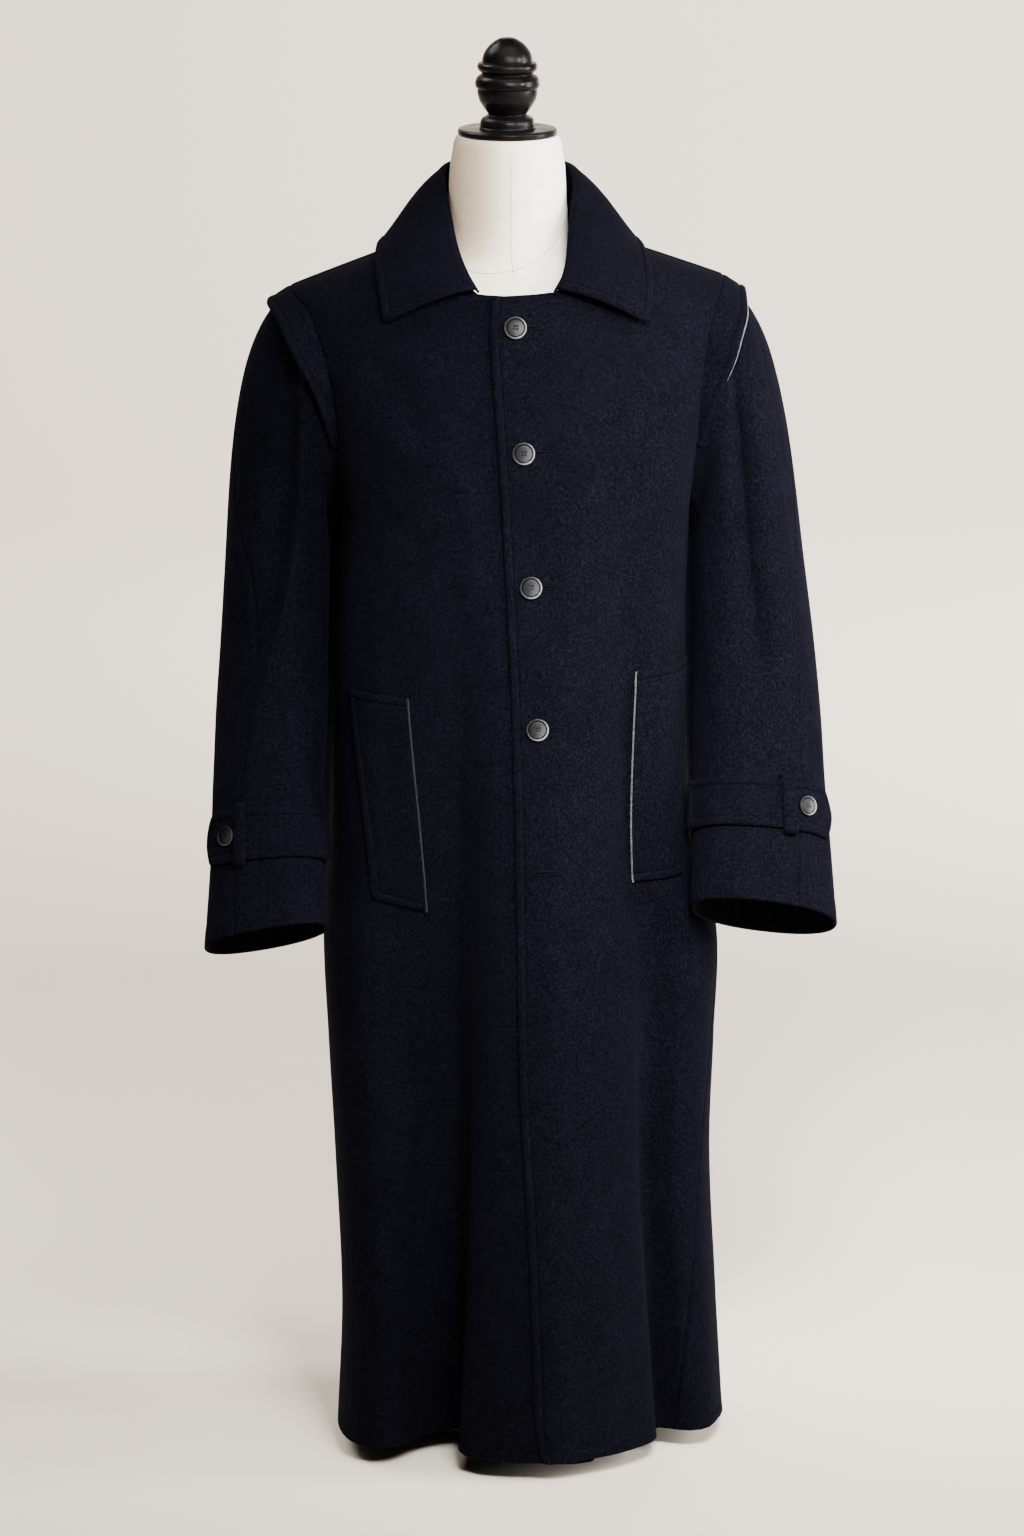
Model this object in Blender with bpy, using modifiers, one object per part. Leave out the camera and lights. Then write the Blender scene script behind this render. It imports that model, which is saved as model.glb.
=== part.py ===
"""Wool overcoat on a limbless dress form.

Metres, +Z up. The coat faces -Y, and +X is the wearer's left. The origin is the middle of the
underside of the base plate. The coat is cut from panels: two fronts that lap over each other, one
back, sleeves of a front and a back half, a flange over each sleeve head, a collar of stand and
fall, patch pockets and cuff straps. Every panel is a wall of cloth on one smooth garment surface.
"""

import bpy
import bmesh
import math
from collections import namedtuple
from mathutils import Vector

# ---------------------------------------------------------------- driving dimensions

WALL = 0.0028           # coat cloth
TRIM_WALL = 0.0025      # flange, collar, pockets and straps
LOOP_WALL = 0.0018
SEAM_GAP = 0.0003       # between two pieces at a seam
LAY = 0.0014            # clear space under a piece that lies on another
POCKET_LAY = 0.0022     # the same under a pocket, over the folds of a front
LAP = 0.053             # how far the left front laps over the right front

HEM_Z = 0.020
UNDERARM_Z = 0.956
RIDGE_TOP_Z = 1.261     # where the two shoulder slopes would meet
RIDGE_SLOPE = {-1: 0.383, 1: 0.335}     # the wearer's right shoulder falls a little more
RIDGE_ROUND = 0.030     # rounds the ridge off at the neck
NECK_POINT_X = 0.078    # where the shoulder seam meets the collar
SHOULDER_HALF = {-1: 0.232, 1: 0.2305}
ARCH_POWER = 2.6        # squareness of the chest as it turns over the shoulder
UPPER_POWER = 3.2       # squareness of the body's plan at the chest
SHOULDER_SHARE = 1.25   # how evenly the plan widens from underarm to shoulder

BUTTON_INSET = 0.025    # from the leading edge to the middle of a button
STRAP_WIDTH = 0.048

# ---------------------------------------------------------------- tables, a row for each section

# plan of the body at height z: reach to the wearer's right (-X) and left (+X), front and back
Section = namedtuple("Section", "z right left front back power")
SECTIONS = [
    Section(0.020, 0.1715, 0.2185, 0.176, 0.160, 2.5),
    Section(0.150, 0.1670, 0.2110, 0.172, 0.158, 2.5),
    Section(0.300, 0.1735, 0.2040, 0.168, 0.155, 2.5),
    Section(0.420, 0.1800, 0.2075, 0.166, 0.152, 2.6),
    Section(0.530, 0.1845, 0.2095, 0.164, 0.146, 2.6),
    Section(0.620, 0.1780, 0.1860, 0.159, 0.138, 2.7),
    Section(0.740, 0.1740, 0.1775, 0.153, 0.127, 2.9),
    Section(0.860, 0.1710, 0.1765, 0.1465, 0.124, 3.1),
    Section(0.956, 0.1630, 0.1800, 0.140, 0.126, 3.2),
]

# fullness of the sides behind the sleeves: how far it moves them out at height z, all of it at
# FULL_PEAK degrees round from the front and none before FULL_START and after FULL_END
Full = namedtuple("Full", "z out")
FULLNESS = [
    Full(0.400, 0.0), Full(0.530, 0.0050), Full(0.610, 0.0165), Full(0.665, 0.0208),
    Full(0.740, 0.0204), Full(0.810, 0.0202), Full(0.860, 0.0192), Full(0.905, 0.0188),
    Full(0.935, 0.0165), Full(0.960, 0.0108), Full(0.985, 0.0035), Full(1.010, 0.0),
]
FULL_START = 96
FULL_PEAK = 120
FULL_END = 160

DRIFT_LATE = 1.0        # folds lean sideways later than they open
FOLD_CUT = 110          # degrees before the front where the fold table starts a turn
# hanging folds: the point of the hem that the plan's point at deg (0 in front, +90 at +X) reaches,
# the height where that fold starts, and how early it opens
Fold = namedtuple("Fold", "deg x y top growth")
FOLDS = [
    Fold(-103, -0.1700, 0.0450, 0.60, 1.1),
    Fold(-92, -0.1722, 0.0080, 0.60, 1.1),
    Fold(-80, -0.1715, -0.0480, 0.60, 1.1),
    Fold(-69, -0.1640, -0.0900, 0.65, 1.1),
    Fold(-58, -0.1500, -0.1168, 0.75, 1.0),
    Fold(-48, -0.1290, -0.1300, 0.85, 0.9),
    Fold(-40, -0.1090, -0.1210, 0.90, 0.8),
    Fold(-32, -0.0850, -0.0900, 0.94, 1.2),
    Fold(-23, -0.0600, -0.0690, 0.94, 1.3),
    Fold(-15.5, -0.0465, -0.0680, 0.94, 1.3),
    Fold(-11.5, -0.0465, -0.1020, 0.93, 1.3),
    Fold(-8.3, -0.0492, -0.1360, 0.92, 1.2),
    Fold(-4.5, -0.0370, -0.1620, 0.85, 1.0),
    Fold(0, -0.0080, -0.1760, 0.80, 1.0),
    Fold(6, 0.0300, -0.1800, 0.80, 1.0),
    Fold(12, 0.0570, -0.1770, 0.85, 1.0),
    Fold(17, 0.0814, -0.1620, 0.90, 0.9),
    Fold(22, 0.1045, -0.1480, 0.95, 0.8),
    Fold(26.5, 0.1278, -0.1290, 1.04, 1.0),
    Fold(29.5, 0.1431, -0.1120, 1.06, 1.0),
    Fold(31.5, 0.1500, -0.0940, 1.06, 1.0),
    Fold(34, 0.1490, -0.0680, 1.06, 1.0),
    Fold(39, 0.1540, -0.0600, 1.06, 1.0),
    Fold(49, 0.1800, -0.0700, 1.02, 1.0),
    Fold(61, 0.2010, -0.0620, 0.90, 0.9),
    Fold(74, 0.2120, -0.0360, 0.70, 1.0),
    Fold(91, 0.2185, 0.0050, 0.60, 1.1),
    Fold(103, 0.2080, 0.0560, 0.60, 1.1),
    Fold(114, 0.1760, 0.0960, 0.70, 1.0),
    Fold(124, 0.1380, 0.0980, 0.80, 0.9),
    Fold(134, 0.1160, 0.1290, 0.85, 0.9),
    Fold(146, 0.0800, 0.1640, 0.86, 0.9),
    Fold(158, 0.0420, 0.1500, 0.92, 0.9),
    Fold(170, 0.0120, 0.1630, 0.90, 0.9),
    Fold(182, -0.0220, 0.1660, 0.88, 0.9),
    Fold(194, -0.0500, 0.1360, 0.90, 0.9),
    Fold(206, -0.0820, 0.1400, 0.84, 0.9),
    Fold(219, -0.1240, 0.1300, 0.78, 1.0),
    Fold(232, -0.1420, 0.0980, 0.72, 1.0),
    Fold(245, -0.1620, 0.0760, 0.65, 1.0),
]

# leading edge of the left front
Edge = namedtuple("Edge", "z x")
LEADING_EDGE = [
    Edge(0.016, 0.0363), Edge(0.050, 0.0280), Edge(0.120, 0.0250), Edge(0.240, 0.0205),
    Edge(0.400, 0.0120), Edge(0.560, 0.0090), Edge(0.760, 0.0045), Edge(0.930, -0.0035),
    Edge(1.040, -0.0095), Edge(1.150, -0.0172), Edge(1.190, -0.0160),
]

# side seams, in degrees from the front
Seam = namedtuple("Seam", "z right left")
SIDE_SEAMS = [
    Seam(0.020, -92, 44.0), Seam(0.110, -92, 50), Seam(0.240, -92, 61),
    Seam(0.500, -92, 78), Seam(0.740, -92, 88), Seam(0.956, -90, 90),
]

# armhole: distance of its edge from the middle plane as it rises from underarm 0 to shoulder 1
ARM_BOTTOM_INSET = 0.004        # share by which the armhole's round bottom is inside the widest line
ARM_BOTTOM_RISE = 0.1
Armhole = namedtuple("Armhole", "rise right left")
ARMHOLES = [
    Armhole(0.00, 0.1630, 0.1800), Armhole(0.16, 0.1675, 0.1835), Armhole(0.32, 0.1672, 0.1870),
    Armhole(0.50, 0.1700, 0.1905), Armhole(0.63, 0.1750, 0.1945), Armhole(0.78, 0.1851, 0.1985),
    Armhole(0.92, 0.1984, 0.2075), Armhole(1.00, 0.2156, 0.2135),
]

# neckline of one half, from the collar's front end to the middle of the back; the row without a
# height is the neck point, on the shoulder's ridge
Neck = namedtuple("Neck", "t x z shift")
NECKLINE = [
    Neck(0.00, 0.038, 1.1860, 0.009), Neck(0.13, 0.052, 1.2000, 0.006), Neck(0.26, 0.064, 1.2120, 0.003),
    Neck(0.39, 0.073, 1.2215, 0.000), Neck(0.52, NECK_POINT_X, None, 0.000),
    Neck(0.66, 0.068, 1.2285, 0.000), Neck(0.83, 0.045, 1.2245, 0.000), Neck(1.00, 0.000, 1.2220, 0.000),
]
NECK_POINT_T = 0.52
TOP_EDGE_FALL = 0.05    # slope of the top edge from the collar's end down to the leading edge
RIDGE_BLEND = 0.20      # width at the neck over which one shoulder's slope turns into the other's

# sleeve rings: innermost and outermost distance from the middle plane, middle in y, half depth,
# forward pitch of the ring, how much its inner side is raised for each metre across, and the
# overarm seam in degrees round from the underarm
Ring = namedtuple("Ring", "z inner outer y depth pitch roll seam")
RINGS = {
    -1: [
        Ring(0.900, 0.1766, 0.2811, 0.004, 0.076, 2, 0.00, 122),
        Ring(0.820, 0.1779, 0.2859, -0.008, 0.071, 9, 0.00, 109),
        Ring(0.750, 0.1786, 0.2906, -0.026, 0.065, 16, 0.02, 108),
        Ring(0.685, 0.1827, 0.2931, -0.050, 0.057, 22, 0.05, 116),
        Ring(0.630, 0.1810, 0.2942, -0.073, 0.052, 25, 0.10, 121),
        Ring(0.543, 0.1771, 0.2998, -0.118, 0.043, 28, 0.18, 120),
    ],
    1: [
        Ring(0.900, 0.1835, 0.2954, 0.004, 0.077, 2, 0.00, 139),
        Ring(0.820, 0.1828, 0.3054, -0.006, 0.073, 9, 0.00, 131),
        Ring(0.750, 0.1822, 0.3121, -0.022, 0.068, 16, 0.02, 128),
        Ring(0.685, 0.1822, 0.3161, -0.044, 0.062, 23, 0.04, 127),
        Ring(0.640, 0.1820, 0.3203, -0.064, 0.058, 27, 0.07, 122),
        Ring(0.5625, 0.1818, 0.3264, -0.104, 0.051, 31, 0.12, 115),
    ],
}

# flange: reach of its free edge outward, down and forward of the armhole as that rises
Reach = namedtuple("Reach", "rise out down forward")
FLANGE = [
    Reach(0.30, 0.0045, 0.0000, 0.0015), Reach(0.44, 0.0120, 0.0000, 0.0038),
    Reach(0.58, 0.0208, 0.0005, 0.0050), Reach(0.70, 0.0282, 0.0025, 0.0058),
    Reach(0.81, 0.0305, 0.0060, 0.0050), Reach(0.91, 0.0290, 0.0110, 0.0030),
    Reach(1.00, 0.0225, 0.0150, 0.0000),
]

# collar of one half, from its front end to the middle of the back: the roll line, the free edge,
# and how far the front opening shifts both
Collar = namedtuple("Collar", "t roll_x roll_y roll_z edge_x edge_y edge_z shift")
COLLAR = [
    Collar(0.00, 0.0380, -0.1110, 1.1925, 0.1300, -0.1120, 1.1590, 0.009),
    Collar(0.13, 0.0475, -0.0940, 1.2090, 0.1345, -0.0880, 1.1870, 0.008),
    Collar(0.26, 0.0540, -0.0700, 1.2300, 0.1355, -0.0500, 1.2090, 0.005),
    Collar(0.39, 0.0590, -0.0370, 1.2560, 0.1330, -0.0150, 1.2180, 0.003),
    Collar(0.52, 0.0645, -0.0030, 1.2820, 0.1280, 0.0200, 1.2190, 0.002),
    Collar(0.66, 0.0620, 0.0300, 1.2930, 0.1130, 0.0550, 1.2135, 0.001),
    Collar(0.83, 0.0420, 0.0590, 1.2980, 0.0680, 0.0860, 1.2040, 0.000),
    Collar(1.00, 0.0000, 0.0710, 1.3000, 0.0000, 0.0950, 1.2040, 0.000),
]
COLLAR_PUFF = 0.008     # how far the fall bows out between its roll and its edge

# pockets: degrees from the front of the inner and outer stitched corners, at the top and the foot
Pocket = namedtuple(
    "Pocket", "side top_z foot_z top_inner top_outer foot_inner foot_outer top_rise foot_rise"
)
POCKETS = [
    Pocket(-1, 0.790, 0.573, -31.5, -53, -25.4, -43.5, 0.004, 0.013),
    Pocket(1, 0.812, 0.597, 40, 73, 36, 58, 0.004, 0.004),
]

BUTTON_HEIGHTS = [1.154, 1.035, 0.903, 0.763]

# dress form, from its closed foot to the top of the neck
Form = namedtuple("Form", "z half front back power")
FORM = [
    Form(0.600, 0.100, 0.072, 0.072, 2.3), Form(0.612, 0.124, 0.090, 0.088, 2.3),
    Form(0.650, 0.136, 0.098, 0.094, 2.4), Form(0.740, 0.137, 0.104, 0.094, 2.5),
    Form(0.860, 0.138, 0.113, 0.098, 2.6), Form(0.960, 0.142, 0.119, 0.105, 2.7),
    Form(1.060, 0.150, 0.118, 0.108, 2.7), Form(1.130, 0.158, 0.107, 0.100, 2.6),
    Form(1.165, 0.153, 0.095, 0.083, 2.5), Form(1.185, 0.133, 0.086, 0.071, 2.4),
    Form(1.200, 0.100, 0.077, 0.062, 2.2), Form(1.213, 0.074, 0.067, 0.0570, 2.0),
    Form(1.230, 0.0620, 0.0610, 0.0550, 2.0), Form(1.250, 0.0590, 0.0580, 0.0545, 2.0),
    Form(1.273, 0.0579, 0.0575, 0.0540, 2.0), Form(1.298, 0.0564, 0.0560, 0.0535, 2.0),
    Form(1.3155, 0.0536, 0.0536, 0.0520, 2.0), Form(1.3230, 0.0522, 0.0522, 0.0510, 2.0),
    Form(1.3276, 0.0495, 0.0495, 0.0490, 2.0),
]

# turned neck disc and finial: radius at each height
DISC_PROFILE = [
    (0.0, 1.3342), (0.0477, 1.3342), (0.0489, 1.3330), (0.0489, 1.3293), (0.0477, 1.3281),
    (0.0, 1.3281),
]
FINIAL_PROFILE = [
    (0.0, 1.4243), (0.0090, 1.4226), (0.0165, 1.4183), (0.0222, 1.4116), (0.0250, 1.4040),
    (0.0256, 1.4003), (0.0290, 1.3992), (0.0306, 1.3938), (0.0292, 1.3885), (0.0268, 1.3872),
    (0.0286, 1.3862), (0.0290, 1.3846), (0.0322, 1.3815), (0.0326, 1.3775), (0.0318, 1.3738),
    (0.0304, 1.3725), (0.0303, 1.3690), (0.0284, 1.3624), (0.0247, 1.3551), (0.0206, 1.3492),
    (0.0208, 1.3470), (0.0258, 1.3445), (0.0272, 1.3405), (0.0272, 1.3345), (0.0, 1.3345),
]
POLE_R = 0.0125
BASE_R = 0.064
BASE_THICK = 0.008

# ---------------------------------------------------------------- colours: rgb, roughness, metallic

CLOTH = ("wool_melton", (0.012, 0.016, 0.030), 0.95, 0.0)
BINDING = ("grey_binding", (0.42, 0.43, 0.45), 0.80, 0.0)
HORN = ("dark_button", (0.035, 0.036, 0.042), 0.30, 0.0)
LINEN = ("form_linen", (0.62, 0.58, 0.52), 0.90, 0.0)
LACQUER = ("black_lacquer", (0.010, 0.009, 0.009), 0.22, 0.0)
METAL = ("dark_steel", (0.060, 0.060, 0.062), 0.40, 0.9)

# ---------------------------------------------------------------- small helpers


def along(table, key):
    """The table's row at a key between its rows, on a smooth curve through them."""
    kind = type(table[0])
    if key <= table[0][0]:
        return table[0]
    if key >= table[-1][0]:
        return table[-1]
    index = 0
    while table[index + 1][0] < key:
        index += 1
    before = table[max(index - 1, 0)]
    low = table[index]
    high = table[index + 1]
    after = table[min(index + 2, len(table) - 1)]
    span = high[0] - low[0]
    t = (key - low[0]) / span
    values = [key]
    for a, b, c, d in zip(before[1:], low[1:], high[1:], after[1:]):
        start = (c - a) / (high[0] - before[0]) * span
        end = (d - b) / (after[0] - low[0]) * span
        values.append(
            b * (1 + 2 * t) * (1 - t) ** 2
            + start * t * (1 - t) ** 2
            + c * t * t * (3 - 2 * t)
            + end * t * t * (t - 1)
        )
    return kind(*values)


def smooth(t):
    """0 to 1 with level ends."""
    t = min(max(t, 0.0), 1.0)
    return t * t * (3 - 2 * t)


def mix(a, b, t):
    return a + (b - a) * t


def signed_power(value, power):
    return math.copysign(abs(value) ** power, value)


def closed_folds():
    """The fold table with a few rows repeated a full turn away at each end."""
    late = [row._replace(deg=row.deg - 360) for row in FOLDS[-3:]]
    early = [row._replace(deg=row.deg + 360) for row in FOLDS[:3]]
    return late + FOLDS + early


ROUND_FOLDS = closed_folds()

# ---------------------------------------------------------------- the garment's surface

DEG_STEP = 0.05         # steps to each side of a place for the surface's normal there
LEVEL_STEP = 0.0004
HALVINGS = 40           # of a bracket in a search

def plan_point(deg, power):
    """A point of the unit superellipse, as parts of the side reach and of the front reach."""
    s = math.sin(math.radians(deg))
    c = math.cos(math.radians(deg))
    reach = (abs(s) ** power + abs(c) ** power) ** (-1 / power)
    return s * reach, c * reach


def side_fullness(deg, z):
    turn = abs((deg + 180) % 360 - 180)
    near = smooth((turn - FULL_START) / (FULL_PEAK - FULL_START))
    return along(FULLNESS, z).out * near * smooth((FULL_END - turn) / (FULL_END - FULL_PEAK))


def plain_section(deg, z):
    row = along(SECTIONS, z)
    side, ahead = plan_point(deg, row.power)
    x = side * (row.left if side > 0 else row.right) + math.copysign(side_fullness(deg, z), side)
    y = -ahead * (row.front if ahead > 0 else row.back)
    return Vector((x, y, z))


def ridge_z(x):
    slope = mix(RIDGE_SLOPE[-1], RIDGE_SLOPE[1], smooth(0.5 + x / RIDGE_BLEND))
    return RIDGE_TOP_Z - slope * math.hypot(x, RIDGE_ROUND)


def rise_of(level):
    """Height share of a level above the underarm, which runs from 0 to 1 at the ridge."""
    return math.sin(level * math.pi / 2) ** (2 / ARCH_POWER)


def level_of(rise):
    return math.asin(rise ** (ARCH_POWER / 2)) * 2 / math.pi


def half_width(side, rise):
    row = SECTIONS[-1]
    low = row.left if side > 0 else row.right
    return mix(low, SHOULDER_HALF[side], rise ** SHOULDER_SHARE)


def fold_shift(deg, z):
    """How far the hanging folds move a point of the plain surface, as x and y."""
    fold = along(ROUND_FOLDS, (deg + FOLD_CUT) % 360 - FOLD_CUT)
    if z >= fold.top:
        return 0.0, 0.0
    opening = (fold.top - z) / (fold.top - HEM_Z)
    hem = plain_section(deg, HEM_Z)
    across = (fold.x - hem.x) * opening ** (fold.growth + DRIFT_LATE)
    return across, (fold.y - hem.y) * opening ** fold.growth


def coat_point(deg, level):
    """Outer surface. A level below 0 is a depth under the underarm, above 0 it climbs to the ridge."""
    if level <= 0:
        point = plain_section(deg, UNDERARM_Z + level)
    else:
        row = SECTIONS[-1]
        rise = rise_of(level)
        lean = signed_power(math.cos(level * math.pi / 2), 2 / ARCH_POWER)
        side, ahead = plan_point(deg, UPPER_POWER)
        x = side * half_width(1 if side > 0 else -1, rise)
        y = -ahead * lean * (row.front if ahead > 0 else row.back)
        z = UNDERARM_Z + (ridge_z(x) - UNDERARM_Z) * rise
        point = Vector((x + math.copysign(side_fullness(deg, z), side), y, z))
    shift_x, shift_y = fold_shift(deg, point.z)
    point.x += shift_x
    point.y += shift_y
    return point


def coat(deg, level, lift=0.0):
    """Point and normal on the garment, lifted off it."""
    across = coat_point(deg + DEG_STEP, level) - coat_point(deg - DEG_STEP, level)
    up = coat_point(deg, level + LEVEL_STEP) - coat_point(deg, level - LEVEL_STEP)
    normal = across.cross(up).normalized()
    return coat_point(deg, level) + normal * lift, normal


def deg_at_x(x, level, low, high):
    """The angle between low and high where the surface reaches x."""
    for _ in range(HALVINGS):
        middle = (low + high) / 2
        if coat_point(middle, level).x < x:
            low = middle
        else:
            high = middle
    return (low + high) / 2


def upper_deg(x, rise):
    """The front angle of a point above the underarm, from its x."""
    side = 1 if x > 0 else -1
    share = min(abs(x) / half_width(side, rise), 1.0)
    ahead = (1 - share ** UPPER_POWER) ** (1 / UPPER_POWER)
    return side * math.degrees(math.atan2(share, ahead))


def upper_place(x, z):
    """Angle and level of a front point above the underarm, from its x and z."""
    rise = min((z - UNDERARM_Z) / (ridge_z(x) - UNDERARM_Z), 1.0)
    return upper_deg(x, rise), level_of(rise)


def armhole_place(side, level):
    """Front angle of the armhole's edge at a level; the back edge is at 180 degrees less it."""
    rise = rise_of(level)
    row = along(ARMHOLES, rise)
    widest = half_width(side, rise) * (1 - ARM_BOTTOM_INSET * min(rise / ARM_BOTTOM_RISE, 1.0))
    return upper_deg(side * min(row.left if side > 0 else row.right, widest), rise)


def armhole(side, level, front):
    deg = armhole_place(side, level)
    if not front:
        deg = side * 180 - deg
    return coat(deg, level)


# ---------------------------------------------------------------- mesh builders


def material(look):
    name, colour, roughness, metallic = look
    found = bpy.data.materials.get(name)
    if found:
        return found
    made = bpy.data.materials.new(name)
    made.use_nodes = True
    shader = made.node_tree.nodes["Principled BSDF"]
    shader.inputs["Base Color"].default_value = (*colour, 1.0)
    shader.inputs["Roughness"].default_value = roughness
    shader.inputs["Metallic"].default_value = metallic
    made.diffuse_color = (*colour, 1.0)
    return made


def add_object(name, mesh, look, sharp_deg=40):
    mesh.shade_smooth()
    mesh.set_sharp_from_angle(angle=math.radians(sharp_deg))
    made = bpy.data.objects.new(name, mesh)
    made.data.materials.append(material(look))
    COLLECTION.objects.link(made)
    return made


def add_bmesh(name, shape, look):
    bmesh.ops.recalc_face_normals(shape, faces=shape.faces[:])
    mesh = bpy.data.meshes.new(name)
    shape.to_mesh(mesh)
    shape.free()
    return add_object(name, mesh, look)


def cloth(name, grid, look=CLOTH, wall=WALL):
    """A wall of cloth under a grid of rows of (point, normal) on its outer side. Where the grid holds
    None there is no cloth."""
    shape = bmesh.new()
    outer = [[cell and shape.verts.new(cell[0]) for cell in row] for row in grid]
    for low, high in zip(outer, outer[1:]):
        for j in range(len(low) - 1):
            corners = (low[j], low[j + 1], high[j + 1], high[j])
            if all(corners):
                shape.faces.new(corners)
    inner = {}
    for row, cells in zip(outer, grid):
        for vert, cell in zip(row, cells):
            if vert:
                inner[vert] = shape.verts.new(cell[0] - cell[1] * wall)
    skin = shape.faces[:]
    rims = [edge.verts[:] for edge in shape.edges if edge.is_boundary]
    for face in skin:
        shape.faces.new([inner[vert] for vert in face.verts])
    for a, b in rims:
        shape.faces.new((a, b, inner[b], inner[a]))
    return add_bmesh(name, shape, look)


def loft(name, rings, look):
    """A closed solid through rings of equally many points."""
    shape = bmesh.new()
    loops = [[shape.verts.new(point) for point in ring] for ring in rings]
    count = len(rings[0])
    for low, high in zip(loops, loops[1:]):
        for j in range(count):
            k = (j + 1) % count
            shape.faces.new((low[j], low[k], high[k], high[j]))
    shape.faces.new(loops[0])
    shape.faces.new(loops[-1])
    return add_bmesh(name, shape, look)


def turned(name, profile, look, steps):
    """A solid of revolution about Z from an outline that runs down its outer side."""
    mesh = bpy.data.meshes.new(name)
    edges = [(k, k + 1) for k in range(len(profile) - 1)]
    mesh.from_pydata([(radius, 0, z) for radius, z in profile], edges, [])
    made = add_object(name, mesh, look)
    screw = made.modifiers.new("Turn", "SCREW")
    screw.steps = steps
    screw.render_steps = steps
    screw.use_merge_vertices = True
    screw.merge_threshold = 0.00001
    screw.use_smooth_shade = True
    return made


def trim_seam(grid, side, gap=SEAM_GAP / 2):
    """Draw one edge of a grid back by half the seam gap, or by the gap given."""
    if side == "top":
        lines = list(zip(*grid))
    else:
        lines = grid
    edge, near = (0, 1) if side == "first" else (-1, -2)
    rows = [i for i, line in enumerate(lines) if line[edge]]
    moved = []
    for i in rows:
        point, normal = lines[i][edge]
        run = lines[min(i + 1, rows[-1])][edge][0] - lines[max(i - 1, rows[0])][edge][0]
        toward = lines[i][near][0] - point
        toward -= run * (toward.dot(run) / run.dot(run))
        moved.append((point + toward.normalized() * gap, normal))
    for i, cell in zip(rows, moved):
        if side == "top":
            grid[-1][i] = cell
        else:
            grid[i][edge] = cell


# ---------------------------------------------------------------- body panels

LOWER_ROWS = (0.02, 0.06, 0.13, 0.22, 0.32, 0.42, 0.50, 0.56, 0.62, 0.72, 0.82, 0.90)
LOWER_LEVELS = [z - UNDERARM_Z for z in LOWER_ROWS]
UPPER_RISES = (0.0, 0.10, 0.22, 0.34, 0.46, 0.58, 0.70, 0.81, 0.91, 0.97, 1.0)
CHEST_RISES = (0.0, 0.10, 0.22, 0.34, 0.46, 0.58, 0.70)      # rows below a front's top edge
SHOULDER_ROWS = 5                                            # rows from there to the shoulder seam
ARM_ANCHOR = 38         # degrees from the front within which columns don't follow the armhole
CORNER_REACH = 4        # columns over which a row is drawn to the collar's corner
FRONT_SPACING = 6.5     # about how many degrees apart the columns are where no folds set them
BACK_SPACING = 7.5
SPLIT_EARLY = 0.2       # share of a spacing by which a wide gap is split sooner
FOLD_CLEAR = 1.5        # degrees that a fold's column keeps from the end of a panel
BACK_ANCHORS = (122, 245)       # between them the back's columns don't follow the side seams
TOP_PARTS = 8           # chords of a shoulder seam, and of half the back neckline

# how a front's columns are carried: degrees between which its leading edge is found, and those
# beyond which they follow that edge and the side seam
Carry = namedtuple("Carry", "low high edge seam")
CARRIES = {1: Carry(-12, 12, 17, 39), -1: Carry(0, 30, -2, -69)}

LAP_EDGE_CLEAR = 0.004  # the left front is fully lifted this far past the right front's edge
LAP_FADE = 0.06         # and comes down over this width after it


def slide(deg, anchor, nominal_end, actual_end):
    """Carry an angle with the panel's edge, from nothing at the anchor to all of it at the end."""
    share = (deg - anchor) / (nominal_end - anchor)
    if share <= 0:
        return deg
    return anchor + share * (actual_end - anchor)


def fold_columns(low, high, spacing):
    """Angles of the folds between two ends, with others between them where they are far apart."""
    inside = [row.deg for row in ROUND_FOLDS if low + FOLD_CLEAR < row.deg < high - FOLD_CLEAR]
    stops = [low] + inside + [high]
    columns = []
    for a, b in zip(stops, stops[1:]):
        parts = max(1, round((b - a) / spacing + SPLIT_EARLY))
        columns += [mix(a, b, k / parts) for k in range(parts)]
    return columns + [high]


def leading_x(z):
    return along(LEADING_EDGE, z).x


def neck_xz(side, t):
    """x and z of the neckline of one half."""
    rows = [row if row.z else row._replace(z=ridge_z(side * row.x)) for row in NECKLINE]
    row = along(rows, t)
    return side * row.x + row.shift, min(row.z, ridge_z(side * row.x + row.shift))


def neck_place(side, t):
    """Front angle and level of the neckline; on the back half the angle is 180 degrees less it."""
    return upper_place(*neck_xz(side, t))


def neck_deg_at(side, level):
    """Angle of the front neckline where it reaches a level."""
    low, high = 0.0, NECK_POINT_T
    for _ in range(HALVINGS):
        middle = (low + high) / 2
        if neck_place(side, middle)[1] < level:
            low = middle
        else:
            high = middle
    return neck_place(side, low)[0]


def front_panel(side):
    """Rows of places, hem first; the first column is the leading edge, the last the side seam."""
    over = side > 0
    extra = 0.0 if over else LAP
    carry = CARRIES[side]
    nominal_edge = deg_at_x(leading_x(UNDERARM_Z) + extra, 0.0, carry.low, carry.high)
    nominal_seam = SIDE_SEAMS[-1].left if over else SIDE_SEAMS[-1].right
    columns = fold_columns(*sorted((nominal_edge, nominal_seam)), FRONT_SPACING)
    if not over:
        columns.reverse()
    grid = []
    for level in LOWER_LEVELS:
        z = UNDERARM_Z + level
        edge = deg_at_x(leading_x(z) + extra, level, carry.low, carry.high)
        seams = along(SIDE_SEAMS, z)
        seam = seams.left if over else seams.right
        row = []
        for deg in columns:
            placed = slide(deg, carry.edge, nominal_edge, edge)
            row.append((slide(placed, carry.seam, nominal_seam, seam), level))
        grid.append(row)
    return grid + chest_rows(side, columns, extra, carry.edge)


def front_levels(side):
    """Levels of a front's rows up to its top edge, and of those beside the neckline."""
    top_level = neck_place(side, 0.0)[1]
    chest = [level_of(rise) for rise in CHEST_RISES] + [top_level]
    return chest, [mix(top_level, 1.0, k / SHOULDER_ROWS) for k in range(1, SHOULDER_ROWS + 1)]


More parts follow.
